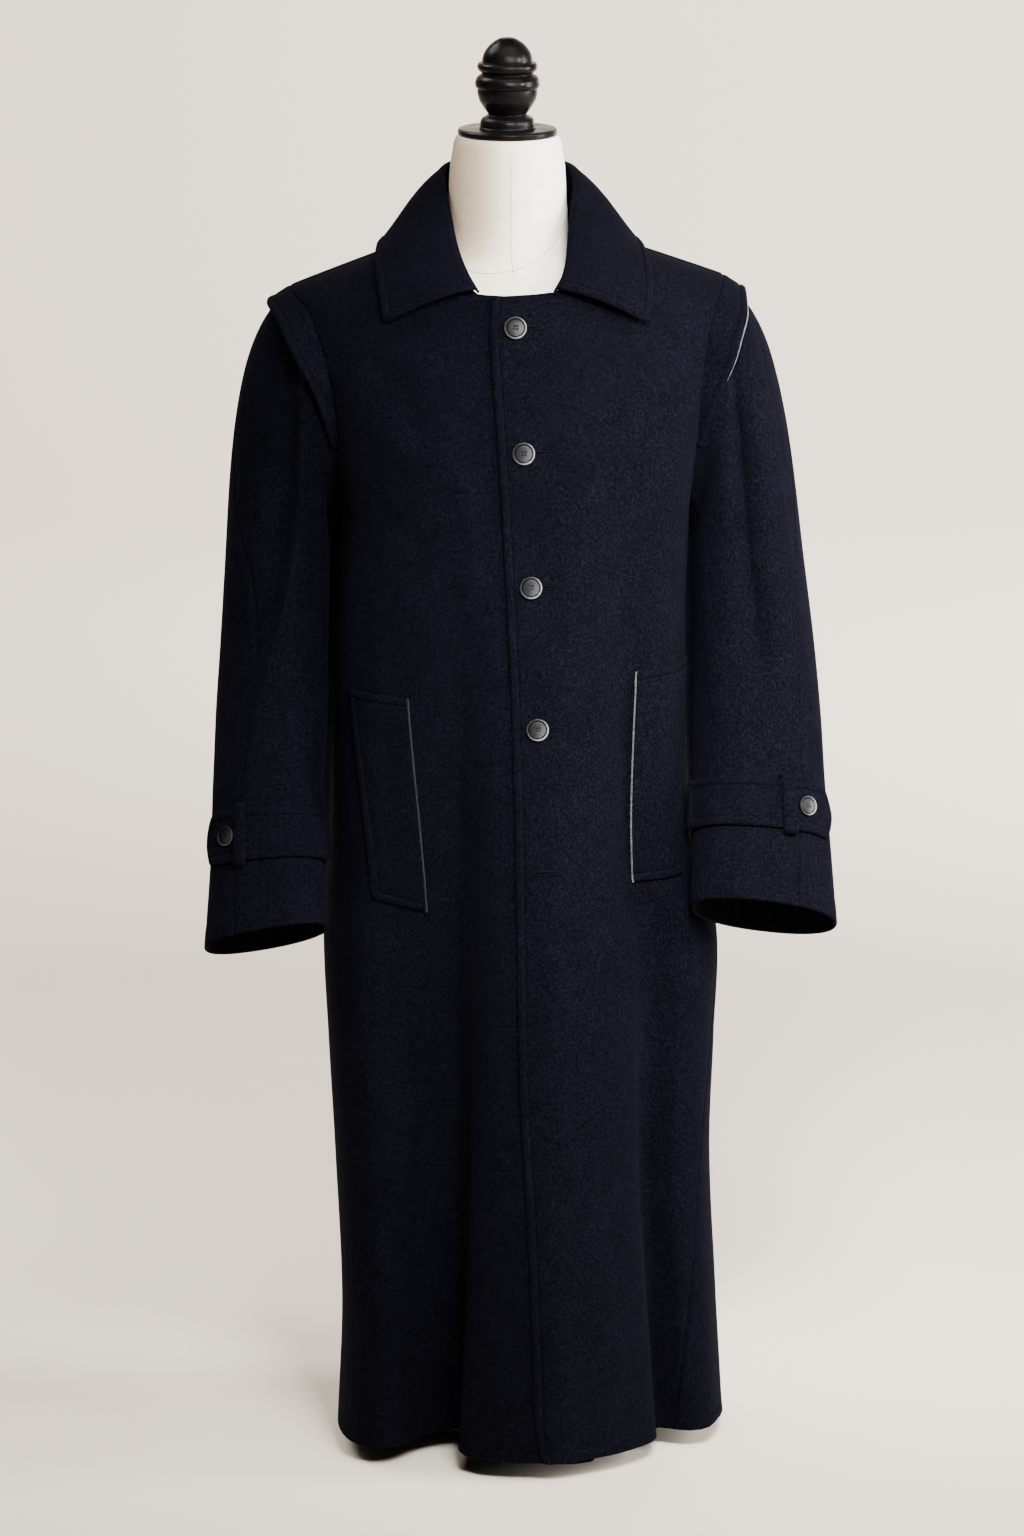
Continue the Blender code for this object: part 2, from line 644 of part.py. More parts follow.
def chest_rows(side, columns, extra, edge_anchor):
    """Rows of a front from the underarm to its top edge, then beside the neckline to the shoulder."""
    corner_x, corner_z = neck_xz(side, 0.0)
    corner_deg, top_level = neck_place(side, 0.0)
    corner = min(range(len(columns)), key=lambda j: abs(columns[j] - corner_deg))
    chest_levels, shoulder_levels = front_levels(side)

    def first_deg(level):
        x = leading_x(corner_z) + extra
        for _ in range(3):
            x = leading_x(UNDERARM_Z + (ridge_z(x) - UNDERARM_Z) * rise_of(level)) + extra
        return upper_deg(x, rise_of(level))

    def slid(level):
        last = armhole_place(side, level) if level > 0 else columns[-1]
        first = first_deg(level) if level > 0 else columns[0]
        row = [slide(deg, edge_anchor, columns[0], first) for deg in columns]
        row = [slide(deg, side * ARM_ANCHOR, columns[-1], last) for deg in row]
        pull = (corner_deg - slid_corner) * level / top_level
        for j in range(1, corner + CORNER_REACH):
            near = j / corner if j <= corner else (corner + CORNER_REACH - j) / CORNER_REACH
            row[j] += pull * near
        return row

    slid_corner = corner_deg
    slid_corner = slid(top_level)[corner]
    top_row = slid(top_level)
    shares = []
    for j, deg in enumerate(top_row):
        if j < corner:
            x = coat_point(deg, top_level).x
            top_z = corner_z - TOP_EDGE_FALL * abs(x - corner_x)
            shares.append(upper_place(x, top_z)[1] / top_level)
        else:
            shares.append(1.0)
    rows = [[(deg, level * share) for deg, share in zip(slid(level), shares)] for level in chest_levels]

    tip = ARMHOLES[-1].left if side > 0 else ARMHOLES[-1].right
    low_xs = [coat_point(deg, top_level).x for deg in top_row[corner:]]
    high_degs = []
    for x in low_xs:
        share = (x - low_xs[0]) / (low_xs[-1] - low_xs[0])
        high_degs.append(upper_deg(side * mix(NECK_POINT_X, tip, share), 1.0))
    for level in shoulder_levels:
        v = (level - top_level) / (1 - top_level)
        ends = neck_deg_at(side, level), armhole_place(side, level)
        rows.append([None] * corner + between(top_row[corner:], high_degs, ends, v, level))
    return rows


def between(low, high, ends, v, level):
    """A row of places between two rows of angles, fitted to its own ends."""
    row = []
    for a, b in zip(low, high):
        low_share = (a - low[0]) / (low[-1] - low[0])
        high_share = (b - high[0]) / (high[-1] - high[0])
        row.append((mix(*ends, mix(low_share, high_share, v)), level))
    return row


def lap_lift(x, z):
    """How far the left front stands off the garment surface to pass over the right front."""
    fade = smooth((x - leading_x(z) - LAP - LAP_EDGE_CLEAR) / LAP_FADE)
    return (WALL + LAY) * (1 - fade)


def make_fronts():
    for side, name in ((1, "front_left"), (-1, "front_right")):
        grid = []
        for row in front_panel(side):
            placed = []
            for place in row:
                lift = 0.0
                if place and side > 0:
                    bare = coat_point(*place)
                    lift = lap_lift(bare.x, bare.z)
                placed.append(coat(*place, lift) if place else None)
            grid.append(placed)
        trim_seam(grid, "last")
        trim_seam(grid, "top")
        cloth(name, grid)


def spread(places, stops, columns):
    """Share a chain of places out among the columns by its length, with its corners on columns."""
    lengths = [0.0]
    for a, b in zip(places, places[1:]):
        lengths.append(lengths[-1] + (coat_point(*b) - coat_point(*a)).length)
    last = len(columns) - 1
    wanted = [lengths[-1] * k / last for k in range(last + 1)]
    for stop in stops:
        nearest = min(range(1, len(wanted) - 1), key=lambda k: abs(wanted[k] - lengths[stop]))
        wanted[nearest] = lengths[stop]
    made = []
    for length in wanted:
        index = 0
        while index < len(places) - 2 and lengths[index + 1] < length:
            index += 1
        share = (length - lengths[index]) / (lengths[index + 1] - lengths[index])
        made.append((mix(places[index][0], places[index + 1][0], share),
                     mix(places[index][1], places[index + 1][1], share)))
    return made


def back_top_places():
    """Shoulder seams and back neckline, from the wearer's left to the right, and their corners."""
    places = []
    corners = []
    for side in (1, -1):
        tip = ARMHOLES[-1].left if side > 0 else ARMHOLES[-1].right
        shares = [k / TOP_PARTS for k in range(TOP_PARTS + 1)]
        half = [(upper_deg(side * mix(tip, NECK_POINT_X, share), 1.0), 1.0) for share in shares]
        half += [neck_place(side, mix(NECK_POINT_T, 1.0, share)) for share in shares[1:]]
        corners.append(TOP_PARTS)
        places += half if side > 0 else half[-2::-1]
    corners[1] = len(places) - 1 - corners[1]
    return [(180 - deg, level) for deg, level in places], corners


def make_back():
    columns = fold_columns(90, 270, BACK_SPACING)
    grid = []
    for level in LOWER_LEVELS:
        row_seams = along(SIDE_SEAMS, UNDERARM_Z + level)
        row = []
        for deg in columns:
            placed = slide(deg, BACK_ANCHORS[0], columns[0], row_seams.left)
            placed = slide(placed, BACK_ANCHORS[1], columns[-1], 360 + row_seams.right)
            row.append((placed, level))
        grid.append(row)
    places, corners = back_top_places()
    high = spread(places, corners, columns)
    high_degs = [deg for deg, _ in high]
    for rise in UPPER_RISES:
        v = level_of(rise)
        ends = (columns[0], columns[-1])
        if v > 0:
            ends = 180 - armhole_place(1, v), 180 - armhole_place(-1, v)
        low_degs = [slide(deg, 180 - ARM_ANCHOR, columns[0], ends[0]) for deg in columns]
        low_degs = [slide(deg, 180 + ARM_ANCHOR, columns[-1], ends[1]) for deg in low_degs]
        row = between(low_degs, high_degs, ends, smooth(v), v)
        grid.append([(deg, v * top) for (deg, _), (_, top) in zip(row, high)])
    placed = [[coat(deg, level) for deg, level in row] for row in grid]
    trim_seam(placed, "first")
    trim_seam(placed, "last")
    trim_seam(placed, "top")
    cloth("back", placed)


# ---------------------------------------------------------------- sleeves

CAP_SHARES = (0.0, 0.10, 0.22, 0.36, 0.50, 0.64, 0.78, 0.90)
SLEEVE_COLUMNS = {"front": 11, "back": 14}
SLEEVE_POWER = 2.25
SLEEVE_TRIM = 0.00019   # a little over half the seam gap, as these seams turn corners
HALFWAY = 0.5
TUCK_END = 0.14         # level by which a sleeve's top is tucked in under the armhole's edge
TUCK = 0.0030           # clear space between the body's inner side and the tucked top
ARM_OUT = 0.0014        # how far out of the armhole the top stands
NARROW = 0.0018         # how much narrower than the armhole its lower part is
NARROW_START = 0.04     # levels between which it narrows, and by which it is wide again
NARROW_RISE = 0.09
NARROW_END = 0.6
NARROW_FALL = 0.35
LEAVE_OUT = 0.62        # direction in which the cap leaves the armhole
LEAVE_AHEAD = -0.02
LEAVE_DOWN = -0.40
ARRIVE_STEP = 0.02      # depth under the first ring that gives the direction of the cap's end
TURN_STEP = 0.5         # steps to each side of a place for a sleeve's normal there
PLACE_STEP = 0.002


def ring_at(side, z):
    return along(RINGS[side][::-1], z)


def ring_point(side, turn, z):
    """A point of the sleeve below its cap; turn is degrees from the underarm by the front."""
    row = ring_at(side, z)
    half = (row.outer - row.inner) / 2
    middle = (row.outer + row.inner) / 2
    inward, ahead = plan_point(90 - turn, SLEEVE_POWER)
    pitch = math.radians(row.pitch)
    x = side * (middle - inward * half)
    y = row.y - ahead * row.depth * math.cos(pitch)
    raised = ahead * row.depth * math.sin(pitch) + inward * half * row.roll
    return Vector((x, y, z + raised))


def cap_start(side, turn):
    """Top edge of the sleeve, tucked under the armhole's edge."""
    front = turn <= 180
    level = (turn if front else 360 - turn) / 180
    if level <= 0:
        point, normal = coat(side * 90, 0.0)
    else:
        point, normal = armhole(side, level, front)
    tuck = smooth(level / TUCK_END)
    near = smooth((level - NARROW_START) / NARROW_RISE) * smooth((NARROW_END - level) / NARROW_FALL)
    narrow = (NARROW if front else -NARROW) * near
    outward = Vector((side * ARM_OUT, narrow, ARM_OUT * (1 - tuck)))
    return point + outward - normal * (WALL + TUCK) * tuck


def sleeve_point(side, turn, place):
    """A place above 0 is a share of the cap, from 0 at the first ring to 1 at the armhole; below 0
    it is a depth under the first ring."""
    turn = turn % 360
    first = RINGS[side][0].z
    if place <= 0:
        return ring_point(side, turn, max(first + place, RINGS[side][-1].z))
    start = cap_start(side, turn)
    end = ring_point(side, turn, first)
    length = (end - start).length
    ahead = LEAVE_AHEAD * math.sin(math.radians(turn))
    leave = Vector((side * LEAVE_OUT, ahead, LEAVE_DOWN)) * length
    below = ring_point(side, turn, first - ARRIVE_STEP)
    arrive = (below - end).normalized() * length
    t = 1 - min(place, 1.0)
    return (
        start * ((1 + 2 * t) * (1 - t) ** 2)
        + leave * (t * (1 - t) ** 2)
        + end * (t * t * (3 - 2 * t))
        + arrive * (t * t * (t - 1))
    )


def sleeve_seam(side, place):
    first = RINGS[side][0]
    if place <= 0:
        return ring_at(side, first.z + place).seam
    return mix(180, first.seam, (1 - place) ** 2)


def sleeve(side, turn, place, lift=0.0):
    """Point and normal on a sleeve, lifted off it."""
    low = sleeve_point(side, turn, place - PLACE_STEP)
    high = sleeve_point(side, turn, min(place + PLACE_STEP, 1.0))
    across = sleeve_point(side, turn + TURN_STEP, place) - sleeve_point(side, turn - TURN_STEP, place)
    normal = across.cross(high - low).normalized() * side
    return sleeve_point(side, turn, place) + normal * lift, normal


def sleeve_places(side):
    """Rows of a sleeve, armhole first: shares of the cap, then depths under the first ring."""
    heights = [ring.z - RINGS[side][0].z for ring in RINGS[side]]
    places = [1 - share for share in CAP_SHARES]
    for high, low in zip(heights, heights[1:]):
        places += [high, mix(high, low, HALFWAY)]
    return places + [heights[-1]]


def make_sleeves():
    for side, word in ((1, "left"), (-1, "right")):
        for half in ("front", "back"):
            grid = []
            count = SLEEVE_COLUMNS[half]
            for place in sleeve_places(side):
                seam = sleeve_seam(side, place)
                first, last = (0.0, seam) if half == "front" else (seam, 360.0)
                turns = [mix(first, last, k / count) for k in range(count + 1)]
                grid.append([sleeve(side, turn, place) for turn in turns])
            trim_seam(grid, "first", SLEEVE_TRIM)
            trim_seam(grid, "last", SLEEVE_TRIM)
            cloth(f"sleeve_{half}_{word}", grid)


# ---------------------------------------------------------------- flanges

FLANGE_STEPS = 3
FLANGE_EARLY = 0.001    # level by which the first row may be under the table's first


def flange_edge(side, level, front):
    row = along(FLANGE, rise_of(level))
    forward = row.forward if front else -row.forward
    return Vector((side * row.out, -forward, -row.down))


def make_flanges():
    start = level_of(FLANGE[0].rise) - FLANGE_EARLY
    back_levels = [level_of(rise) for rise in reversed(UPPER_RISES[:-1])]
    for side, word in ((1, "left"), (-1, "right")):
        chest_levels, shoulder_levels = front_levels(side)
        stations = [(level, True) for level in chest_levels + shoulder_levels if level > start]
        stations += [(level, False) for level in back_levels if level > start]
        grid = []
        root_normals = []
        for level, front in stations:
            root, normal = armhole(side, level, front)
            reach = flange_edge(side, level, front)
            row = [(root + reach * k / FLANGE_STEPS, normal) for k in range(FLANGE_STEPS + 1)]
            grid.append(row)
            root_normals.append(normal)
        grid = with_grid_normals(grid)
        for row, normal in zip(grid, root_normals):
            row[0] = (row[0][0], normal)
        trim_seam(grid, "first", SEAM_GAP)
        cloth(f"flange_{word}", grid, CLOTH, TRIM_WALL)


def with_grid_normals(grid):
    """Replace the normals of a grid by those of its own points, kept on the same side."""
    made = []
    for i, row in enumerate(grid):
        fresh = []
        for j, (point, hint) in enumerate(row):
            up = grid[min(i + 1, len(grid) - 1)][j][0] - grid[max(i - 1, 0)][j][0]
            across = row[min(j + 1, len(row) - 1)][0] - row[max(j - 1, 0)][0]
            normal = up.cross(across).normalized()
            if normal.dot(hint) < 0:
                normal = -normal
            fresh.append((point, normal))
        made.append(fresh)
    return made


# ---------------------------------------------------------------- collar

COLLAR_STEPS = 14
STAND_CLEAR = 0.0010    # between the neckline and the stand's foot, out and up
STAND_TOP = 0.0048      # how far the stand ends under the roll line
STAND_LIFT_END = 0.15   # share of the half neckline over which the foot is lifted by the lap
PUFF_POWER = 0.75       # brings the fall's fullest line nearer its roll
FALL_ROWS = (0, 0.12, 0.3, 0.5, 0.75, 1)
STAND_ROWS = (0, 0.35, 0.7, 1)
AROUND_STEP = 0.02      # steps along and across the collar for its normals
U_STEP = 0.01
V_STEP = 0.05


def collar_row(u):
    """The collar's row at u from -1, the right front end, by 0, the back, to 1."""
    row = along(COLLAR, 1 - abs(u))
    side = 1 if u > 0 else -1
    shift = row.shift
    roll = Vector((side * row.roll_x + shift, row.roll_y, row.roll_z))
    edge = Vector((side * row.edge_x + shift, row.edge_y, row.edge_z))
    return roll, edge


def stand_foot(u):
    """Foot of the collar stand, just over the neckline of the front or the back."""
    side = 1 if u > 0 else -1
    t = 1 - abs(u)
    deg, level = neck_place(side, t)
    if t > NECK_POINT_T:
        deg = 180 - deg
    lift = mix(WALL + LAY, 0.0, min(t / STAND_LIFT_END, 1.0)) if side > 0 else 0.0
    point, normal = coat(deg, level, lift + STAND_CLEAR)
    return point + Vector((0, 0, STAND_CLEAR))


def fall_point(u, q):
    roll, edge = collar_row(u)
    chord = edge - roll
    around = collar_row(min(u + AROUND_STEP, 1))[0] - collar_row(max(u - AROUND_STEP, -1))[0]
    out = around.cross(chord).normalized()
    return roll + chord * q + out * COLLAR_PUFF * math.sin(math.pi * q ** PUFF_POWER)


def stand_point(u, q):
    top = collar_row(u)[0] - Vector((0, 0, STAND_TOP))
    foot = stand_foot(u)
    return foot + (top - foot) * q


def surface_grid(surface, us, vs, flip):
    grid = []
    for u in us:
        row = []
        for v in vs:
            du = surface(min(u + U_STEP, 1.0), v) - surface(max(u - U_STEP, -1.0), v)
            dv = surface(u, min(v + V_STEP, 1.0)) - surface(u, max(v - V_STEP, 0.0))
            row.append((surface(u, v), du.cross(dv).normalized() * flip))
        grid.append(row)
    return grid


def make_collar():
    around = [k / COLLAR_STEPS for k in range(-COLLAR_STEPS, COLLAR_STEPS + 1)]
    fall = surface_grid(fall_point, around, FALL_ROWS, 1)
    cloth("collar_fall", fall, CLOTH, TRIM_WALL)
    stand = surface_grid(stand_point, around, STAND_ROWS, -1)
    cloth("collar_stand", stand, CLOTH, TRIM_WALL)


# ---------------------------------------------------------------- pockets, straps and buttons

POCKET_ROWS = 7
POCKET_COLUMNS = 5
BINDING_WIDTH = 0.0032
BINDING_WALL = 0.0018


def make_pockets():
    for pocket in POCKETS:
        word = "left" if pocket.side > 0 else "right"
        grid = []
        for i in range(POCKET_ROWS + 1):
            down = i / POCKET_ROWS
            inner = mix(pocket.top_inner, pocket.foot_inner, down)
            outer = mix(pocket.top_outer, pocket.foot_outer, down)
            row = []
            for j in range(POCKET_COLUMNS + 1):
                across = j / POCKET_COLUMNS
                rise = mix(pocket.top_rise, pocket.foot_rise, down)
                z = mix(pocket.top_z, pocket.foot_z, down) + rise * across
                deg = mix(inner, outer, across)
                row.append(coat(deg, z - UNDERARM_Z, POCKET_LAY + TRIM_WALL))
            grid.append(row)
        cloth(f"pocket_{word}", grid, CLOTH, TRIM_WALL)
        binding = []
        for row in grid:
            point, normal = row[0]
            outward = (point - row[1][0]).normalized()
            near = point + outward * SEAM_GAP
            far = point + outward * BINDING_WIDTH
            binding.append([(near, normal), (far, normal)])
        cloth(f"pocket_binding_{word}", binding, BINDING, BINDING_WALL)


# strap: its ends, button and loop in degrees round the sleeve, its middle line's height on the ring
# at each end, and how far its square end stands off the sleeve
Strap = namedtuple("Strap", "side start button tip loop start_z tip_z start_off")
STRAPS = [
    Strap(-1, 16, 129.5, 165, 115, 0.628, 0.632, 0.0035),
    Strap(1, 18, 127, 165, 112, 0.656, 0.654, 0.0025),
]
START_FADE = 14         # degrees over which the square end comes down to the sleeve
STRAP_POINT = 14        # degrees of the sleeve that the strap's pointed end takes
STRAP_CORNER = 6        # degrees from the tip of a row that keeps the point's form
STRAP_PARTS = 9         # along the straight part
STRAP_TIP = 0.06        # share of the width that is left at the tip
STRAP_ROWS = (-1, -0.33, 0.33, 1)
LOOP_HALF_TURN = 4.8    # half the loop's width, in degrees of the sleeve
LOOP_PAST = 0.005       # how far the loop passes the strap's edges
# the loop's rows: place across the strap and whether it is up over the strap or down on the sleeve
LOOP_ROWS = ((-1, False), (-0.93, True), (-0.5, True), (0, True), (0.5, True), (0.93, True), (1, False))


def strap_place(strap, turn, across):
    """A place on the sleeve beside the strap's middle line."""
    middle = mix(strap.start_z, strap.tip_z, (turn - strap.start) / (strap.tip - strap.start))
    return middle + across - RINGS[strap.side][0].z


def make_straps():
    for strap in STRAPS:
        word = "left" if strap.side > 0 else "right"
        shoulder = strap.tip - STRAP_POINT
        stops = [mix(strap.start, shoulder, k / STRAP_PARTS) for k in range(STRAP_PARTS + 1)]
        stops += [strap.tip - STRAP_CORNER, strap.tip]
        grid = []
        for turn in stops:
            taper = min(1.0, mix(STRAP_TIP, 1.0, (strap.tip - turn) / STRAP_POINT))
            off = strap.start_off * (1 - smooth((turn - strap.start) / START_FADE))
            row = []
            for k in STRAP_ROWS:
                place = strap_place(strap, turn, k * taper * STRAP_WIDTH / 2)
                row.append(sleeve(strap.side, turn, place, LAY + TRIM_WALL + off))
            grid.append(row)
        cloth(f"cuff_strap_{word}", grid, CLOTH, TRIM_WALL)
        make_loop(strap, word)


def make_loop(strap, word):
    """A narrow band across the strap, its ends down on the sleeve above and below it."""
    reach = STRAP_WIDTH / 2 + LOOP_PAST
    low = LAY + TRIM_WALL
    turns = (strap.loop - LOOP_HALF_TURN, strap.loop + LOOP_HALF_TURN)
    grid = []
    for k, up in LOOP_ROWS:
        place = strap_place(strap, strap.loop, k * reach)
        grid.append([sleeve(strap.side, turn, place, 2 * low if up else low) for turn in turns])
    cloth(f"strap_loop_{word}", with_grid_normals(grid), CLOTH, LOOP_WALL)


# turned button, full size
BUTTON_STEPS = 16
CUFF_BUTTON_SCALE = 0.89
FRONT_BUTTON_CLEAR = 0.0003     # under a button, besides the seam gap
CUFF_BUTTON_CLEAR = 0.0006
BUTTON_BRACKET = (-10, 25)      # degrees between which the lower front buttons are
BUTTON_PROFILE = [
    (0.0, 0.0026), (0.0066, 0.0026), (0.0080, 0.0038), (0.0098, 0.0038), (0.01125, 0.0026),
    (0.01125, 0.0012), (0.0090, 0.0), (0.0, 0.0),
]


def make_button(name, point, normal, size):
    made = turned(name, [(r * size, z * size) for r, z in BUTTON_PROFILE], HORN, BUTTON_STEPS)
    made.location = point + normal * SEAM_GAP
    made.rotation_mode = "QUATERNION"
    made.rotation_quaternion = normal.to_track_quat("Z", "Y")


def make_buttons():
    for number, z in enumerate(BUTTON_HEIGHTS, 1):
        x = leading_x(z) + BUTTON_INSET
        if z > UNDERARM_Z:
            deg, level = upper_place(x, z)
        else:
            level = z - UNDERARM_Z
            deg = deg_at_x(x, level, *BUTTON_BRACKET)
        point, normal = coat(deg, level, WALL + LAY + FRONT_BUTTON_CLEAR)
        make_button(f"front_button_{number}", point, normal, 1)
    for strap in STRAPS:
        word = "left" if strap.side > 0 else "right"
        place = strap_place(strap, strap.button, 0.0)
        point, normal = sleeve(strap.side, strap.button, place, LAY + TRIM_WALL + CUFF_BUTTON_CLEAR)
        make_button(f"cuff_button_{word}", point, normal, CUFF_BUTTON_SCALE)


# ---------------------------------------------------------------- dress form

FORM_STEPS = 28         # round the torso and the neck disc
FINIAL_STEPS = 24
POLE_STEPS = 20
BASE_STEPS = 32
BASE_BEVEL = 0.003


def make_form():
    rings = []
    for row in FORM:
        ring = []
        for k in range(FORM_STEPS):
            side, ahead = plan_point(k * 360 / FORM_STEPS, row.power)
            ring.append(Vector((side * row.half, -ahead * (row.front if ahead > 0 else row.back), row.z)))
        rings.append(ring)
    loft("form_torso", rings, LINEN)
    turned("neck_disc", DISC_PROFILE, LACQUER, FORM_STEPS)
    turned("neck_finial", FINIAL_PROFILE, LACQUER, FINIAL_STEPS)
    pole = [
        (0.0, FORM[0].z - SEAM_GAP), (POLE_R, FORM[0].z - SEAM_GAP),
        (POLE_R, BASE_THICK + SEAM_GAP), (0.0, BASE_THICK + SEAM_GAP),
    ]
    turned("form_pole", pole, METAL, POLE_STEPS)
    base = [
        (0.0, BASE_THICK), (BASE_R - BASE_BEVEL, BASE_THICK), (BASE_R, BASE_THICK - BASE_BEVEL),
        (BASE_R, 0.0), (0.0, 0.0),
    ]
    turned("form_base", base, METAL, BASE_STEPS)


# ---------------------------------------------------------------- build

for old in list(bpy.data.objects):
    bpy.data.objects.remove(old, do_unlink=True)

COLLECTION = bpy.data.collections.new("wool_overcoat")
bpy.context.scene.collection.children.link(COLLECTION)

make_fronts()
make_back()
make_sleeves()
make_flanges()
make_collar()
make_pockets()
make_straps()
make_buttons()
make_form()
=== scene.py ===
"""Wool overcoat on a limbless dress form: the visible model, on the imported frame.

Metres and degrees, +Z up. The coat faces -Y, and +X is the wearer's left, side 1; the wearer's right
is side -1. Each panel of cloth is a thin shell on the same garment surface as its solid, with its
creases, turned edges and topstitching.
"""

import math

import bmesh
import bpy
import numpy as np
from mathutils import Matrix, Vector


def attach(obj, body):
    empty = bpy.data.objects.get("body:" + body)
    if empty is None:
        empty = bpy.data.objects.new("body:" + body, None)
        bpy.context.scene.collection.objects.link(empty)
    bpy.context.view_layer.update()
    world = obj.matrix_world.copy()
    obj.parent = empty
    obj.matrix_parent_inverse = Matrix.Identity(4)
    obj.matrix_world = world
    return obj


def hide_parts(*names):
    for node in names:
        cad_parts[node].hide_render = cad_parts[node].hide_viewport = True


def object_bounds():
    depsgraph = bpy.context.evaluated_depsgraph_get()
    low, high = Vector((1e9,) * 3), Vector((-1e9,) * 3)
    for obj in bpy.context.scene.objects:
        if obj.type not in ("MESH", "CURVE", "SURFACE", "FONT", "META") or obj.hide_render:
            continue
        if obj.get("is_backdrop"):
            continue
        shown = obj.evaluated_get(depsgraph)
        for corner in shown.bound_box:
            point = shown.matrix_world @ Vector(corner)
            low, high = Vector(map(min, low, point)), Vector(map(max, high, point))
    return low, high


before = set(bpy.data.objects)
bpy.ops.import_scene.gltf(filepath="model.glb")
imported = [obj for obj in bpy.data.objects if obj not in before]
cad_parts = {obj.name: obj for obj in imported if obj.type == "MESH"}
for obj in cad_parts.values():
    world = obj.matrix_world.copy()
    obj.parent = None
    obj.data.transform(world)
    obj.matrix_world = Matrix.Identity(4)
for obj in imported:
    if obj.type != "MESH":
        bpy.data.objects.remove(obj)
CAD_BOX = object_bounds()

# ---------------------------------------------------------------- camera, as the photograph

CAMERA_AIM = (0.0045, 0.0, 0.69023)
CAMERA_DISTANCE = 8.0
CAMERA_TILT = 12.5
CAMERA_LENS = 187.5

# ---------------------------------------------------------------- the garment's own sizes

WALL = 0.0028
TRIM_WALL = 0.0025
LOOP_WALL = 0.0018
SEAM_GAP = 0.0003
LAY = 0.0014
LAP = 0.053
HEM_Z = 0.020
UNDERARM_Z = 0.956
RIDGE_TOP_Z = 1.261
RIDGE_SLOPE = {-1: 0.383, 1: 0.335}
RIDGE_ROUND = 0.030
NECK_POINT_X = 0.078
SHOULDER_HALF = {-1: 0.232, 1: 0.2305}
ARCH_POWER = 2.6
UPPER_POWER = 3.2
SHOULDER_SHARE = 1.25
DRIFT_LATE = 1.0
BUTTON_INSET = 0.025
STRAP_WIDTH = 0.048

# plan of the body: z right left front back power
SECTIONS = np.array([
    (0.020, 0.1715, 0.2185, 0.176, 0.160, 2.5),
    (0.150, 0.1670, 0.2110, 0.172, 0.158, 2.5),
    (0.300, 0.1735, 0.2040, 0.168, 0.155, 2.5),
    (0.420, 0.1800, 0.2075, 0.166, 0.152, 2.6),
    (0.530, 0.1845, 0.2095, 0.164, 0.146, 2.6),
    (0.620, 0.1780, 0.1860, 0.159, 0.138, 2.7),
    (0.740, 0.1740, 0.1775, 0.153, 0.127, 2.9),
    (0.860, 0.1710, 0.1765, 0.1465, 0.124, 3.1),
    (0.956, 0.1630, 0.1800, 0.140, 0.126, 3.2),
])

# fullness of the sides behind the sleeves: z out, between the angles where it starts and ends
FULLNESS = np.array([
    (0.400, 0.0), (0.530, 0.0050), (0.610, 0.0165), (0.665, 0.0208), (0.740, 0.0204), (0.810, 0.0202),
    (0.860, 0.0192), (0.905, 0.0188), (0.935, 0.0165), (0.960, 0.0108), (0.985, 0.0035), (1.010, 0.0),
])
FULL_START = 96
FULL_PEAK = 120
FULL_END = 160

# hanging folds: deg x y top growth
FOLDS = np.array([
    (-103, -0.1700, 0.0450, 0.60, 1.1), (-92, -0.1722, 0.0080, 0.60, 1.1),
    (-80, -0.1715, -0.0480, 0.60, 1.1), (-69, -0.1640, -0.0900, 0.65, 1.1),
    (-58, -0.1500, -0.1168, 0.75, 1.0), (-48, -0.1290, -0.1300, 0.85, 0.9),
    (-40, -0.1090, -0.1210, 0.90, 0.8), (-32, -0.0850, -0.0900, 0.94, 1.2),
    (-23, -0.0600, -0.0690, 0.94, 1.3), (-15.5, -0.0465, -0.0680, 0.94, 1.3),
    (-11.5, -0.0465, -0.1020, 0.93, 1.3), (-8.3, -0.0492, -0.1360, 0.92, 1.2),
    (-4.5, -0.0370, -0.1620, 0.85, 1.0), (0, -0.0080, -0.1760, 0.80, 1.0),
    (6, 0.0300, -0.1800, 0.80, 1.0), (12, 0.0570, -0.1770, 0.85, 1.0),
    (17, 0.0814, -0.1620, 0.90, 0.9), (22, 0.1045, -0.1480, 0.95, 0.8),
    (26.5, 0.1278, -0.1290, 1.04, 1.0), (29.5, 0.1431, -0.1120, 1.06, 1.0),
    (31.5, 0.1500, -0.0940, 1.06, 1.0), (34, 0.1490, -0.0680, 1.06, 1.0),
    (39, 0.1540, -0.0600, 1.06, 1.0), (49, 0.1800, -0.0700, 1.02, 1.0),
    (61, 0.2010, -0.0620, 0.90, 0.9), (74, 0.2120, -0.0360, 0.70, 1.0),
    (91, 0.2185, 0.0050, 0.60, 1.1), (103, 0.2080, 0.0560, 0.60, 1.1),
    (114, 0.1760, 0.0960, 0.70, 1.0), (124, 0.1380, 0.0980, 0.80, 0.9),
    (134, 0.1160, 0.1290, 0.85, 0.9), (146, 0.0800, 0.1640, 0.86, 0.9),
    (158, 0.0420, 0.1500, 0.92, 0.9), (170, 0.0120, 0.1630, 0.90, 0.9),
    (182, -0.0220, 0.1660, 0.88, 0.9), (194, -0.0500, 0.1360, 0.90, 0.9),
    (206, -0.0820, 0.1400, 0.84, 0.9), (219, -0.1240, 0.1300, 0.78, 1.0),
    (232, -0.1420, 0.0980, 0.72, 1.0), (245, -0.1620, 0.0760, 0.65, 1.0),
])
TURN = np.array([360, 0, 0, 0, 0])
ROUND_FOLDS = np.vstack([FOLDS[-3:] - TURN, FOLDS, FOLDS[:3] + TURN])

